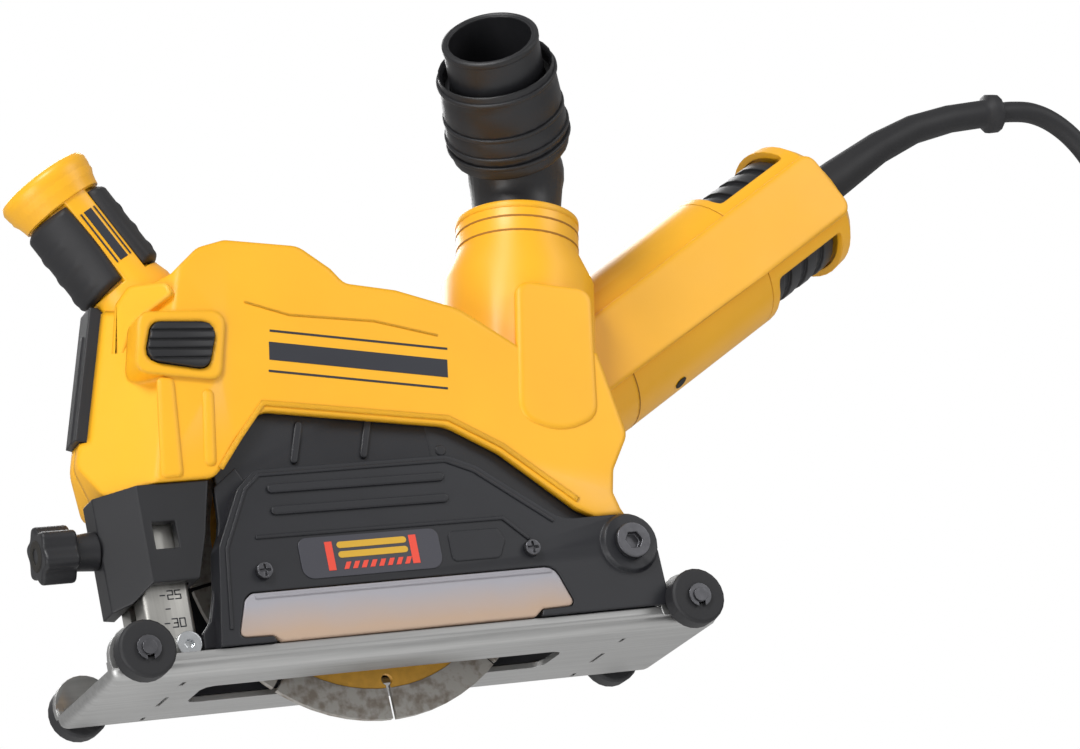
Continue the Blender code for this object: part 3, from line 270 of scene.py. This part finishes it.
SOLE_STEEL = brushed("sole_steel", (0.47, 0.47, 0.465), 0.42, (0.25, 8, 8), vary=0.10, grain=0.2)
ARM_STEEL = brushed("arm_steel", (0.56, 0.55, 0.52), 0.38, (8, 8, 0.4), vary=0.08, grain=0.15)
BRIGHT = brushed("bright_zinc", (0.66, 0.68, 0.70), 0.24, (6, 6, 6), vary=0.08, grain=0.1)
DARK_STEEL = brushed("dark_steel", (0.13, 0.13, 0.14), 0.36, (5, 5, 5), vary=0.12, grain=0.15)
CAST = brushed("cast_aluminium", (0.20, 0.21, 0.22), 0.5, (3, 3, 3), vary=0.18, grain=0.6)
CORE = brushed("disc_core", (0.62, 0.33, 0.05), 0.42, (4, 4, 4), vary=0.10, grain=0.12, metal=0.2)
SEGMENT = sintered("disc_segment")
WINDOW_CLEAR = clear_plastic("window_clear")


# ---- shapes ----
ARC_STEPS = 5
CIRCLE_STEPS = 20
TURNED_SIDES = 64
WELD_GAP = 0.002
FLAT_ANGLE = 0.6


def settle(piece, body, look, bevel=0.0, segments=2, sharp=35):
    """Give a new piece its look, rounded edges and smooth shading, and let it ride on its body."""
    piece.data.materials.clear()
    piece.data.materials.append(look)
    piece.data.shade_smooth()
    piece.data.set_sharp_from_angle(angle=math.radians(sharp))
    if bevel:
        rounding = piece.modifiers.new("rounding", "BEVEL")
        rounding.width = bevel * MM
        rounding.segments = segments
        rounding.limit_method = "ANGLE"
        rounding.angle_limit = math.radians(sharp)
        rounding.harden_normals = True
    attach(piece, body)
    return piece


def new_object(name, data, matrix=None):
    piece = bpy.data.objects.new(name, data)
    bpy.context.scene.collection.objects.link(piece)
    if matrix is not None:
        piece.matrix_world = matrix
    return piece


def refined(node, look, bevel=0.4, sharp=35):
    """A finished copy of a CAD node: welded, with its flat faces whole again and its edges rounded."""
    mesh = NODES[node].data.copy()
    bm = bmesh.new()
    bm.from_mesh(mesh)
    bmesh.ops.remove_doubles(bm, verts=bm.verts, dist=WELD_GAP * MM)
    bmesh.ops.dissolve_limit(bm, angle_limit=math.radians(FLAT_ANGLE), verts=bm.verts, edges=bm.edges)
    bm.to_mesh(mesh)
    bm.free()
    piece = new_object(node + "_finish", mesh)
    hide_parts(node)
    return settle(piece, BODY_OF[node], look, bevel, sharp=sharp)


def prism(name, outline, depth, matrix, body, look, bevel=0.3, segments=2):
    """An outline in mm in the matrix's XY plane, raised along its Z by depth."""
    mesh = bpy.data.meshes.new(name)
    bm = bmesh.new()
    face = bm.faces.new([bm.verts.new((x * MM, y * MM, 0)) for x, y in outline])
    raised = bmesh.ops.extrude_face_region(bm, geom=[face])["geom"]
    lifted = [v for v in raised if isinstance(v, bmesh.types.BMVert)]
    bmesh.ops.translate(bm, vec=(0, 0, depth * MM), verts=lifted)
    bmesh.ops.recalc_face_normals(bm, faces=bm.faces)
    bm.to_mesh(mesh)
    bm.free()
    return settle(new_object(name, mesh, matrix), body, look, bevel, segments)


def on_side(y):
    """A frame on a plane of the tool's left side: its X and Y are the tool's X and Z, its Z points out."""
    turn = Matrix(((1, 0, 0), (0, 0, -1), (0, 1, 0))).to_4x4()
    return Matrix.Translation((0, y * MM, 0)) @ turn


def side_plate(name, outline, y, depth, body, look, bevel=0.3, segments=2):
    """A raised plate on the left side, standing depth out from the plane y."""
    return prism(name, outline, depth, on_side(y), body, look, bevel, segments)


def rounded(corners):
    """An outline from corners (x, z, radius), each of them an arc."""
    points = []
    count = len(corners)
    for i, (x, z, radius) in enumerate(corners):
        here = Vector((x, z))
        before = (Vector(corners[i - 1][:2]) - here).normalized()
        after = (Vector(corners[(i + 1) % count][:2]) - here).normalized()
        half = before.angle(after) / 2
        reach = radius / math.tan(half)
        centre = here + (before + after).normalized() * radius / math.sin(half)
        first = here + before * reach - centre
        last = here + after * reach - centre
        sweep = first.angle_signed(last)
        for k in range(ARC_STEPS + 1):
            points.append(centre + Matrix.Rotation(-sweep * k / ARC_STEPS, 2) @ first)
    return points


def bar(start, end, width):
    """The outline of a straight bar with round ends, between two points."""
    a, b = Vector(start), Vector(end)
    along = (b - a).normalized()
    across = Vector((-along.y, along.x)) * width / 2
    outwards = along * width / 2
    points = []
    for centre, side in ((b, 1), (a, -1)):
        for k in range(ARC_STEPS + 2):
            turn = math.pi * k / (ARC_STEPS + 1)
            points.append(centre - across * side * math.cos(turn) + outwards * side * math.sin(turn))
    return points


def circle(x, z, radius):
    """The outline of a circle round the middle (x, z)."""
    turns = [TURN * k / CIRCLE_STEPS for k in range(CIRCLE_STEPS)]
    return [(x + radius * math.cos(turn), z + radius * math.sin(turn)) for turn in turns]


def turned(name, profile, origin, axis, body, look, bevel=0.0, sharp=40):
    """A piece turned about axis from a closed ring of (radius, height) corners in mm."""
    mesh = bpy.data.meshes.new(name)
    bm = bmesh.new()
    ring = [bm.verts.new((r * MM, 0, h * MM)) for r, h in profile]
    ring += [bm.edges.new(pair) for pair in zip(ring, ring[1:] + ring[:1])]
    bmesh.ops.spin(
        bm, geom=ring, cent=(0, 0, 0), axis=(0, 0, 1), angle=TURN, steps=TURNED_SIDES, use_merge=True
    )
    bmesh.ops.remove_doubles(bm, verts=bm.verts, dist=WELD_GAP / 2 * MM)
    bmesh.ops.recalc_face_normals(bm, faces=bm.faces)
    bm.to_mesh(mesh)
    bm.free()
    return settle(new_object(name, mesh, frame_on(origin, axis)), body, look, bevel, 2, sharp)


def band(line, width):
    """The outline of a bent strip of one width along a line of points."""
    points = [Vector(p) for p in line]
    ends = [2 * points[0] - points[1]] + points + [2 * points[-1] - points[-2]]
    one, other = [], []
    for before, here, after in zip(ends, ends[1:], ends[2:]):
        first = (here - before).normalized()
        second = (after - here).normalized()
        normal = Vector((-first.y - second.y, first.x + second.x)).normalized()
        reach = width / 2 / max(0.4, math.cos(first.angle(second) / 2))
        one.append(here + normal * reach)
        other.append(here - normal * reach)
    return one + other[::-1]


# ---- cord ----
COIL_CENTRE = Vector((366.0, 27.0, -56.0))
COIL_TURNS = 3
COIL_R0, COIL_R1 = 34.0, 58.0
COIL_LAYERS = 4
COIL_START = math.radians(140)
COIL_STEPS = 32
ROUTE_STEPS = 6
CORD_ROUNDNESS = 4
TAIL_LENGTH = 74.0
TAIL_STEPS = 8
CORD_ROUTE = [
    (308.6, 27, 154.6), (314.9, 27, 155.0), (323.7, 27, 154.2), (331.8, 27, 150.6), (339.1, 27, 144.0),
    (345.0, 27, 134.5), (349.6, 27, 121), (352.6, 27, 104), (354.0, 26.5, 85), (353.5, 25, 64),
    (350.6, 22, 42), (344.5, 18.5, 20), (334.6, 16, -1.5),
]  # fmt: skip


def smooth(route):
    """Points on a Catmull-Rom curve through the route's own points."""
    route = [Vector(p) for p in route]
    ends = [2 * route[0] - route[1]] + route + [2 * route[-1] - route[-2]]
    points = []
    for before, here, after, beyond in zip(ends, ends[1:], ends[2:], ends[3:]):
        for k in range(ROUTE_STEPS):
            t = k / ROUTE_STEPS
            points.append(0.5 * (
                2 * here
                + (after - before) * t
                + (2 * before - 5 * here + 4 * after - beyond) * t**2
                + (3 * here - 3 * after + beyond - before) * t**3
            ))  # fmt: skip
    return points + [route[-1]]


def coil_point(radius, angle, layer):
    """A point of the coil, whose layers lie side by side along Y."""
    side = (layer - (COIL_LAYERS - 1) / 2) * CORD_D
    return COIL_CENTRE + Vector((radius * math.cos(angle), side, radius * math.sin(angle)))


def coil_points():
    """The coil's turns: spirals in and out by turns, one layer beside the other."""
    crossing = (TURN + math.pi - COIL_START) / (COIL_LAYERS - 1)
    angle = COIL_START
    points = []
    for layer in range(COIL_LAYERS):
        inwards = layer % 2 == 0
        first, last = (COIL_R1, COIL_R0) if inwards else (COIL_R0, COIL_R1)
        for k in range(COIL_TURNS * COIL_STEPS + 1):
            share = k / (COIL_TURNS * COIL_STEPS)
            radius = first + (last - first) * share
            points.append(coil_point(radius, angle + share * COIL_TURNS * TURN, layer))
        angle += COIL_TURNS * TURN
        if layer == COIL_LAYERS - 1:
            break
        count = round(crossing / TURN * COIL_STEPS)
        for k in range(1, count):
            share = k / count
            eased = share * share * (3 - 2 * share)
            points.append(coil_point(last, angle + share * crossing, layer + eased))
        angle += crossing
    return points


def make_cord():
    """The cord from the boot's mouth to the plug, as one round tube."""
    coil = coil_points()
    free = smooth(CORD_ROUTE + [coil[0]])
    tail = [coil[-1] - Vector((0, 0, TAIL_LENGTH * k / TAIL_STEPS)) for k in range(1, TAIL_STEPS + 1)]
    points = free + coil[1:] + tail
    curve = bpy.data.curves.new("mains_cord", "CURVE")
    curve.dimensions = "3D"
    curve.bevel_depth = CORD_D / 2 * MM
    curve.bevel_resolution = CORD_ROUNDNESS
    curve.use_fill_caps = True
    spline = curve.splines.new("POLY")
    spline.points.add(len(points) - 1)
    for knot, place in zip(spline.points, points):
        knot.co = (*(place * MM), 1)
    curve.materials.append(SOFT_BLACK)
    cord = new_object("mains_cord", curve)
    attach(cord, "tool")
    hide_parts("cord_tube", "cord_coil", "cord_end")
    boot = refined("cord_boot", SOFT_BLACK, 0.0, 60)


# ---- shroud, column and front handle ----
def groove(inner, outer, height, half):
    """The profile of a dark ring, half above and half below the height: painted shade for the column's
    grooves, and the dark line of the barrel's joint.
    """
    return [(inner, height + half), (outer, height + half), (outer, height - half), (inner, height - half)]


def make_shroud():
    """Both shroud halves with their raised relief, the plain bands, the column's lip and dark rings of
    painted shade for its grooves.
    """
    refined("shroud_left", YELLOW)
    refined("shroud_right", YELLOW)
    refined("front_spine", BLACK)
    panel = rounded([(63.4, 78.2, 5), (91.0, 73.0, 5), (83.2, 27.0, 8), (68.6, 21.5, 20), (53.5, 29.0, 8)])
    side_plate("column_panel", panel, SHROUD_Y + 3, 3.7, "tool", YELLOW, 1.4, 3)
    make_shoulder()
    ridge = rounded([(-72.5, 52, 2), (-66.5, 51, 2), (-69.5, 17, 2), (-77.5, 17, 2)])
    side_plate("tower_ridge", ridge, SHROUD_Y + 0.9, 1.5, "tool", YELLOW, 0.8, 3)
    fin = rounded([(-57.5, 47, 2), (-53.5, 46, 2), (-57.5, 20, 2), (-62, 20, 2)])
    side_plate("tower_fin", fin, SHROUD_Y + 0.9, 1.4, "tool", YELLOW, 0.7, 3)
    lip = [(-56.5, 19), (-47.5, 29.5), (-37.4, 40.4), (27.6, 30.6), (45.2, 19.6), (69, -1.6)]
    side_plate("arch_lip", band(lip, 2.0), SHROUD_Y, 0.5, "tool", YELLOW, 0.25)
    seam = [(-37, 76), (-22, 70.5), (8, 66.5), (30, 60)]
    side_plate("shroud_crease", band(seam, 0.7), SHROUD_Y, 0.3, "tool", YELLOW, 0.2)
    for name, drop, width in (("top", 0.0, 0.8), ("middle", 7.0, 6.4), ("foot", 14.0, 0.8)):
        stripe = band([(-30.0 - 0.22 * drop, 65.4 - drop), (32.6 - 0.2 * drop, 55.0 - drop)], width)
        side_plate(f"shroud_stripe_{name}", stripe, SHROUD_Y, 0.12, "tool", MARK, 0.05)
    refined("lock_button", BLACK)
    # Dark rings of painted shade stand in for the socket's two grooves.
    for i, height in enumerate((80.1, 85.4)):
        ring = groove(SOCKET_R - 0.4, SOCKET_R + 0.08, height, 0.35)
        turned(f"socket_groove_shade_{i}", ring, COLUMN_BASE, column_dir, "tool", GROOVE_SHADE_AND_JOINT)
    lip = [(16.4, 91.6), (20.6, 91.6), (SOCKET_R + 0.2, 91.0), (SOCKET_R + 0.2, 88.6), (16.4, 88.6)]
    turned("socket_lip", lip, COLUMN_BASE, column_dir, "tool", YELLOW, 0.25)


def make_shoulder():
    """The tower's shoulder over the handle's foot, leaning so that its low end runs into the cut face."""
    sink, thick, lean = 6.0, 2.8, math.radians(7)
    outline = rounded([
        (14, -4.0, 3), (43.5, -4.8, 3), (49.5, -9.5, 3), (49.5, -24.2, 4), (45, -26.0, 1), (36, -12.0, 4),
        (24, -8.0, 4), (14, -7.0, 1),
    ])  # fmt: skip
    place = frame_on(NOSE_EDGE - sink * NOSE_OUT, NOSE_OUT) @ Matrix.Rotation(-lean, 4, "Y")
    prism("tower_shoulder", outline, thick, place, "tool", YELLOW, 1.6, 3)


def make_handle():
    """The front handle: its core with a round flare at the end, two pads and three plain bands."""
    refined("handle_core", YELLOW_FINE)
    flare = [
        (0, 58.2), (14.2, 58.2), (16.2, 57.4), (16.9, 55.6), (16.6, 53.2), (15.8, 50.4), (15.0, 47.6),
        (14.6, 45.6), (13.6, 45.6), (13.6, 56.5), (0, 56.5),
    ]  # fmt: skip
    turned("handle_flare", flare, HANDLE_FOOT, handle_dir, "tool", YELLOW_FINE, sharp=60)
    make_grip("handle_grip_front", 0.0)
    make_grip("handle_grip_rear", math.pi)
    near = Vector((0, 0.55 - HANDLE_CORE_R, 0))
    for name, side, width in (("left", 2.9, 0.5), ("middle", 0, 3.2), ("right", -2.9, 0.5)):
        place = frame_on(HANDLE_FOOT + near, (0, -1, 0), handle_dir)
        stripe = band([(side, 19), (side, 39)], width)
        prism(f"handle_stripe_{name}", stripe, 0.62, place, "tool", MARK, 0.05)


def grip_point(u, v, middle, under):
    """A point on a pad's skin or under it. u goes round the handle and v along it, both from -1 to 1."""
    half_sweep, low, high = math.radians(71.5), 13.2, 44.8
    bed_r, top_r, rim_drop, rim_start = 11.8, 15.8, 1.9, 0.86
    ridge, ridges_low, ridges_high, ridges_side = 0.4, -0.8, 0.5, 0.55
    half_waves = 5  # of a sine, whose three upper ones are the ridges
    bow = 0.10
    angle = middle + half_sweep * u * math.sqrt(1 - bow * v**2)
    height = (low + high) / 2 + (high - low) / 2 * v * math.sqrt(1 - bow * u**2)
    rim = max(0.0, (max(abs(u), abs(v)) - rim_start) / (1 - rim_start))
    wave = 0.0
    if ridges_low < v < ridges_high and abs(u) < ridges_side:
        share = (v - ridges_low) / (ridges_high - ridges_low)
        wave = max(0.0, math.sin(half_waves * math.pi * share))
    r = bed_r if under else top_r - rim_drop * rim**2 + ridge * wave
    return Vector((r * math.cos(angle), r * math.sin(angle), height)) * MM


def make_grip(node, middle):
    """A soft pad round one side of the handle: pillowed rim, rounded corners and three low ridges."""
    rows, columns = 60, 24
    bm = bmesh.new()
    skins = []
    for under in (False, True):
        skin = []
        for j in range(rows + 1):
            v = 2 * j / rows - 1
            around = [2 * i / columns - 1 for i in range(columns + 1)]
            skin.append([bm.verts.new(grip_point(u, v, middle, under)) for u in around])
        skins.append(skin)
    for skin in skins:
        for row, after in zip(skin, skin[1:]):
            for i in range(columns):
                bm.faces.new((row[i], row[i + 1], after[i + 1], after[i]))
    borders = []
    for skin in skins:
        sides = [row[-1] for row in skin[1:-1]] + skin[-1][::-1] + [row[0] for row in skin[-2:0:-1]]
        borders.append(skin[0] + sides)
    outer, inner = borders
    for i in range(len(outer)):
        bm.faces.new((outer[i - 1], outer[i], inner[i], inner[i - 1]))
    bmesh.ops.recalc_face_normals(bm, faces=bm.faces)
    mesh = bpy.data.meshes.new(node + "_pad")
    bm.to_mesh(mesh)
    bm.free()
    pad = new_object(node + "_pad", mesh, frame_on(HANDLE_FOOT, handle_dir, (0, -1, 0)))
    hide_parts(node)
    settle(pad, "tool", SOFT_BLACK, sharp=60)


# ---- motor barrel ----
def make_barrel():
    """The motor barrel and gear case, with the barrel's near facet, a disc of painted shadow for one lower
    screw well, and a seam.
    """
    for node, look in (
        ("motor_housing", YELLOW_FINE), ("tail_cap", YELLOW_FINE), ("air_inlet_ring", BLACK),
        ("gear_case", CAST), ("bearing_cover", CAST),
    ):  # fmt: skip
        refined(node, look)
    side = Matrix((barrel_dir, barrel_up, (0, -1, 0))).transposed().to_4x4()
    near = Matrix.Translation(at_barrel(0, 3.5 - BARREL_R) * MM) @ side
    facet = rounded([(100, -12, 3), (196, -13, 3), (245, -13.5, 5), (245, 13.5, 5), (100, 12, 3)])
    prism("barrel_facet", facet, 3.8, near, "tool", YELLOW, 1.0, 3)
    # A thin dark disc of painted shadow stands in for the screw's well.
    screw_place = frame_on(at_barrel(150.5) + SCREW_OUT * (BARREL_R + 0.05), SCREW_OUT)
    prism("barrel_screw_well_shadow", circle(0, 0, 2.6), 0.1, screw_place, "tool", SHADOW, 0.02)
    seam = groove(BARREL_R - 1, BARREL_R + 0.08, 128.15, 0.2)
    turned("barrel_seam", seam, at_barrel(0), barrel_dir, "tool", GROOVE_SHADE_AND_JOINT)


def make_elbow():
    """The dust elbow and its twist collar, with four hoops round the collar and a lip on the spigot."""
    refined("dust_elbow", BLACK, 0.0, 40)
    refined("twist_collar", BLACK, 0.0, 30)
    corner = COLUMN_BASE + column_dir * ELBOW_H
    root = 20.2
    for i, (height, radius) in enumerate(((17.0, 22.1), (20.6, 22.1), (28.2, 21.5), (42.6, 21.3))):
        hoop = [(root, height + 0.9), (radius, height + 0.7), (radius, height - 0.7), (root, height - 0.9)]
        turned(f"adaptor_hoop_{i}", hoop, corner, ELBOW_AXIS, "twist_collar", BLACK, 0.25)
    lip = [(15.1, 57.1), (16.0, 57.6), (17.0, 57.1), (17.0, 55.4), (16.2, 54.6), (15.1, 54.6)]
    turned("spigot_lip", lip, corner, ELBOW_AXIS, "dust_elbow", BLACK, 0.15)


# ---- guard, window, sole and rollers ----
def make_guard():
    """The guard halves with their window, leaves, ribs, label, badge, screws and the pivot they turn on."""
    refined("guard_left", GUARD_GREY)
    refined("guard_right", GUARD_GREY)
    refined("inspection_window", WINDOW_CLEAR, 0.0, 40)
    brow = band([(-54, -26.0), (52.5, -26.0)], 1.1)
    side_plate("window_brow", brow, WINDOW_Y, 0.4, "shoe", WINDOW_CLEAR, 0.3)
    rear_leaf = [
        (20, 10), (20, 32), (30, 28), (46, 18), (69, -2.6), (78, -8.5), (84, -12), (60, -14), (33, 8),
    ]  # fmt: skip
    side_plate("guard_rear_leaf", rear_leaf, LEAF_Y + 2, 2.2, "shoe", GUARD_GREY, 0.3)
    front_leaf = [
        (-72, -40), (-71.5, -34.6), (-68.4, -31), (-64, -17), (-59.2, 2), (-58.5, 14), (-50, 20), (-44, 8),
        (-52, -40),
    ]  # fmt: skip
    side_plate("guard_front_leaf", front_leaf, LEAF_Y + 2, 2.2, "shoe", GUARD_GREY, 0.3)
    for i, x in enumerate((-29, -4)):
        slant = bar((x, 21), (x + 4, 33), 2.6)
        side_plate(f"guard_slant_{i}", slant, LEAF_Y, 0.9, "shoe", GUARD_GREY, 0.5)
    side_plate("guard_dimple", circle(24, 20.5, 1.9), LEAF_Y, 0.5, "shoe", GUARD_GREY, 0.3)
    for i, z in enumerate((10.0, 2.5)):
        line = bar((-41.5, z), (19, z - 0.4), 3.0)
        rib = side_plate(f"guard_rib_{i}", line, GUARD_Y, 0.9, "shoe", GUARD_GREY, 0.6, 3)
        rib.data.shade_smooth()
    step = [(-50, -6.0), (38.5, -6.4), (46.8, -14.5)]
    side_plate("guard_step", band(step, 1.3), GUARD_Y, 0.5, "shoe", GUARD_GREY, 0.3)
    edge = [(-64, -36), (-60.5, -9), (-50.5, 10.5), (-45, 15), (22, 15), (31.5, 10.8), (57, -9)]
    side_plate("guard_edge", band(edge, 1.2), GUARD_Y, 0.45, "shoe", GUARD_GREY, 0.3)
    make_label()
    badge = rounded([(17.5, -9.5, 2), (36, -9.7, 2), (38, -14, 2), (35, -20, 2), (17.5, -20, 2)])
    side_plate("guard_badge", badge, GUARD_Y, 0.3, "shoe", GUARD_GREY, 0.2)
    for node in ("guard_screw_front", "guard_screw_rear"):
        refined(node, DARK_STEEL, 0.2)
    for node in ("pivot_bolt", "pivot_nut"):
        refined(node, DARK_STEEL)


def make_label():
    """The guard's plain label: a grey plate, a red bar at each end, slanted red marks and two lines."""
    left = -21.5
    plate = rounded([(-36, -7.6, 3), (14, -7.9, 3), (14, -21.6, 4), (-36, -21.6, 4)])
    side_plate("label_plate", plate, GUARD_Y, 0.35, "shoe", PLATE_GREY, 0.2)
    for i, x in enumerate((-25.5, 4.5)):
        end = [(x - 1.3, -9.6), (x + 1.3, -9.6), (x + 1.3, -19.4), (x - 1.3, -19.4)]
        side_plate(f"label_end_{i}", end, GUARD_Y, 0.5, "shoe", RED, 0.05)
    for i in range(8):
        x = left + 3.1 * i
        slant = [(x, -19.3), (x + 1.7, -19.3), (x + 3.0, -16.9), (x + 1.3, -16.9)]
        side_plate(f"label_stripe_{i}", slant, GUARD_Y, 0.5, "shoe", RED, 0.03)
    for i in range(2):
        z = -11.0 - 3.3 * i
        line = bar((left, z), (1.2, z), 2.2)
        side_plate(f"label_line_{i}", line, GUARD_Y, 0.5, "shoe", LABEL_YELLOW, 0.05)


def make_sole():
    """The sole with its axles and rollers, and the depth stop with its scale, collar and knob."""
    refined("sole_plate", SOLE_STEEL, 0.0, 40)
    refined("scale_arm", ARM_STEEL, 0.0, 40)
    refined("arm_screw", BRIGHT, 0.3)
    for node in ("front_axle", "rear_axle"):
        refined(node, DARK_STEEL, 0.2)
    for end in ("front", "rear"):
        for side in ("left", "right"):
            refined(f"roller_{end}_{side}", SOFT_BLACK)
            refined(f"axle_clip_{end}_{side}", DARK_STEEL, 0.1)
    refined("depth_collar", BLACK)
    make_knob()
    for text, z in (("25", -20.4), ("30", -29.8)):
        dash = bar((-83.0, z), (-81.4, z), 0.4)
        side_plate(f"scale_dash_{text}", dash, ARM_FACE_Y, 0.1, "shoe", MARK, 0.03)
        for place, digit in enumerate(text):
            write_digit(f"scale_{text}_{place}", digit, -80.4 + 2.6 * place, z)
    middle = bar((-81.8, -25), (-80.4, -25), 0.4)
    side_plate("scale_dash_middle", middle, ARM_FACE_Y, 0.1, "shoe", MARK, 0.03)


def write_digit(name, digit, x, z):
    """One digit of the depth scale in straight strokes, its left edge at x and its middle at z."""
    wide, half, stroke = 1.8, 1.4, 0.38
    top_left, top_right = (x, z + half), (x + wide, z + half)
    mid_left, mid_right = (x, z), (x + wide, z)
    foot_left, foot_right = (x, z - half), (x + wide, z - half)
    line = {
        "2": [top_left, top_right, mid_right, mid_left, foot_left, foot_right],
        "5": [top_right, top_left, mid_left, mid_right, foot_right, foot_left],
        "3": [top_left, top_right, mid_right, (x + wide / 3, z), mid_right, foot_right, foot_left],
        "0": [foot_left, top_left, top_right, foot_right, foot_left],
    }[digit]
    for i, (start, end) in enumerate(zip(line, line[1:])):
        side_plate(f"{name}_{i}", bar(start, end, stroke), ARM_FACE_Y, 0.1, "shoe", MARK, 0.02)


def make_knob():
    """The clamp knob: a fluted star on a flared neck, with a dark ring of painted shade for the recessed
    eye in its face.
    """
    outwards = (-1, 0, 0)
    place = frame_on(KNOB_FOOT, outwards) @ Matrix.Translation((0, 0, 8 * MM))
    steps, lobes, middle_r, swell = 72, 6, 8.8, 1.0
    flutes = []
    for k in range(steps):
        turn = TURN * k / steps
        radius = middle_r + swell * math.cos(lobes * turn)
        flutes.append((radius * math.cos(turn), radius * math.sin(turn)))
    star = prism("knob_star", flutes, 12, place, "clamp_knob", BLACK, 1.2, 3)
    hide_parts("clamp_knob")
    neck = [(0, 9), (5.8, 9), (6.4, 0), (2.1, 0), (2.1, -8.4), (0, -8.4)]
    turned("knob_neck", neck, KNOB_FOOT, outwards, "clamp_knob", BLACK, 0.3)
    # A dark ring of painted shade stands in for the recessed eye.
    eye = [(2.6, 20.35), (4.9, 20.35), (5.4, 19.8), (5.4, 19), (2.6, 19)]
    turned("knob_eye_shade", eye, KNOB_FOOT, outwards, "clamp_knob", SHADOW, 0.1)


def make_disc():
    """The disc: a painted core inside a sintered rim."""
    disc = refined("diamond_disc", CORE, 0.0, 30)
    disc.data.materials.append(SEGMENT)
    for face in disc.data.polygons:
        centre = face.center
        if math.hypot(centre.x, centre.z) > (DISC_R - SEGMENT_DEPTH) * MM:
            face.material_index = 1


# ---- CAD pieces that keep their own shape ----
KEPT = {
    "handle_bolt": BRIGHT, "field_stator": DARK_STEEL, "carbon_brush_1": BLACK, "carbon_brush_2": BLACK,
    "spindle_bearing": BRIGHT, "armature_bearing_front": BRIGHT, "armature_bearing_rear": BRIGHT,
    "power_switch": BLACK, "spindle_lock_button": BLACK, "spindle": BRIGHT, "ring_gear": DARK_STEEL,
    "inner_flange": BRIGHT, "outer_flange": BRIGHT, "armature": BRIGHT, "cooling_fan": BLACK,
    "pinion": DARK_STEEL, "plug": BLACK, "coil_tie": BLACK,
}  # fmt: skip


def make_kept():
    """Each piece keeps its CAD shape and gets its look."""
    for node, look in KEPT.items():
        piece = NODES[node]
        piece.data.materials.clear()
        piece.data.materials.append(look)


# ---- floor and light, in metres and watts ----
FLOOR_Z = -0.75
FLOOR_HALF = 9.0
SKY_ON_OBJECT = 0.40
SKY_SEEN = 1.0


def area_light(name, place, target, size, power):
    """A round soft light at place that faces target."""
    data = bpy.data.lights.new(name, "AREA")
    data.shape = "DISK"
    data.size = size
    data.energy = power
    lamp = bpy.data.objects.new(name, data)
    bpy.context.scene.collection.objects.link(lamp)
    aim = (Vector(target) - Vector(place)).to_track_quat("-Z", "Y").to_matrix().to_4x4()
    lamp.matrix_world = Matrix.Translation(place) @ aim


def make_stage():
    """A pale sky and floor, and four soft lights round the tool."""
    world = bpy.data.worlds.new("studio")
    bpy.context.scene.world = world
    world.use_nodes = True
    tree = world.node_tree
    sky = tree.nodes["Background"]
    sky.inputs["Color"].default_value = (1, 1, 1, 1)
    path = tree.nodes.new("ShaderNodeLightPath")
    strength = span(tree, path.outputs["Is Camera Ray"], SKY_ON_OBJECT, SKY_SEEN)
    tree.links.new(strength, sky.inputs["Strength"])
    bpy.context.scene.view_settings.view_transform = "Standard"

    mesh = bpy.data.meshes.new("floor")
    bm = bmesh.new()
    bmesh.ops.create_grid(bm, x_segments=1, y_segments=1, size=FLOOR_HALF)
    bm.to_mesh(mesh)
    bm.free()
    floor = new_object("floor", mesh, Matrix.Translation((0, 0, FLOOR_Z)))
    pale, tree, shader = new_material("floor_pale", 0.7)
    mottle = ramp(tree, noise(tree, 3, 2), (0.84, 0.84, 0.84), (0.9, 0.9, 0.9))
    tree.links.new(mottle, shader.inputs["Base Color"])
    mesh.materials.append(pale)

    middle = (0.05, 0.0, 0.04)
    area_light("key", (-0.9, -1.1, 1.3), middle, 0.7, 23)
    area_light("fill", (-1.4, -0.7, -0.3), middle, 0.9, 9)
    area_light("right", (1.3, -1.2, 0.7), middle, 0.9, 7)
    area_light("back", (0.3, 1.4, 1.1), middle, 1.0, 14)


make_camera()
make_cord()
make_shroud()
make_handle()
make_barrel()
make_elbow()
make_guard()
make_sole()
make_disc()
make_kept()
make_stage()


def corners(box):
    return [list(corner) for corner in box]
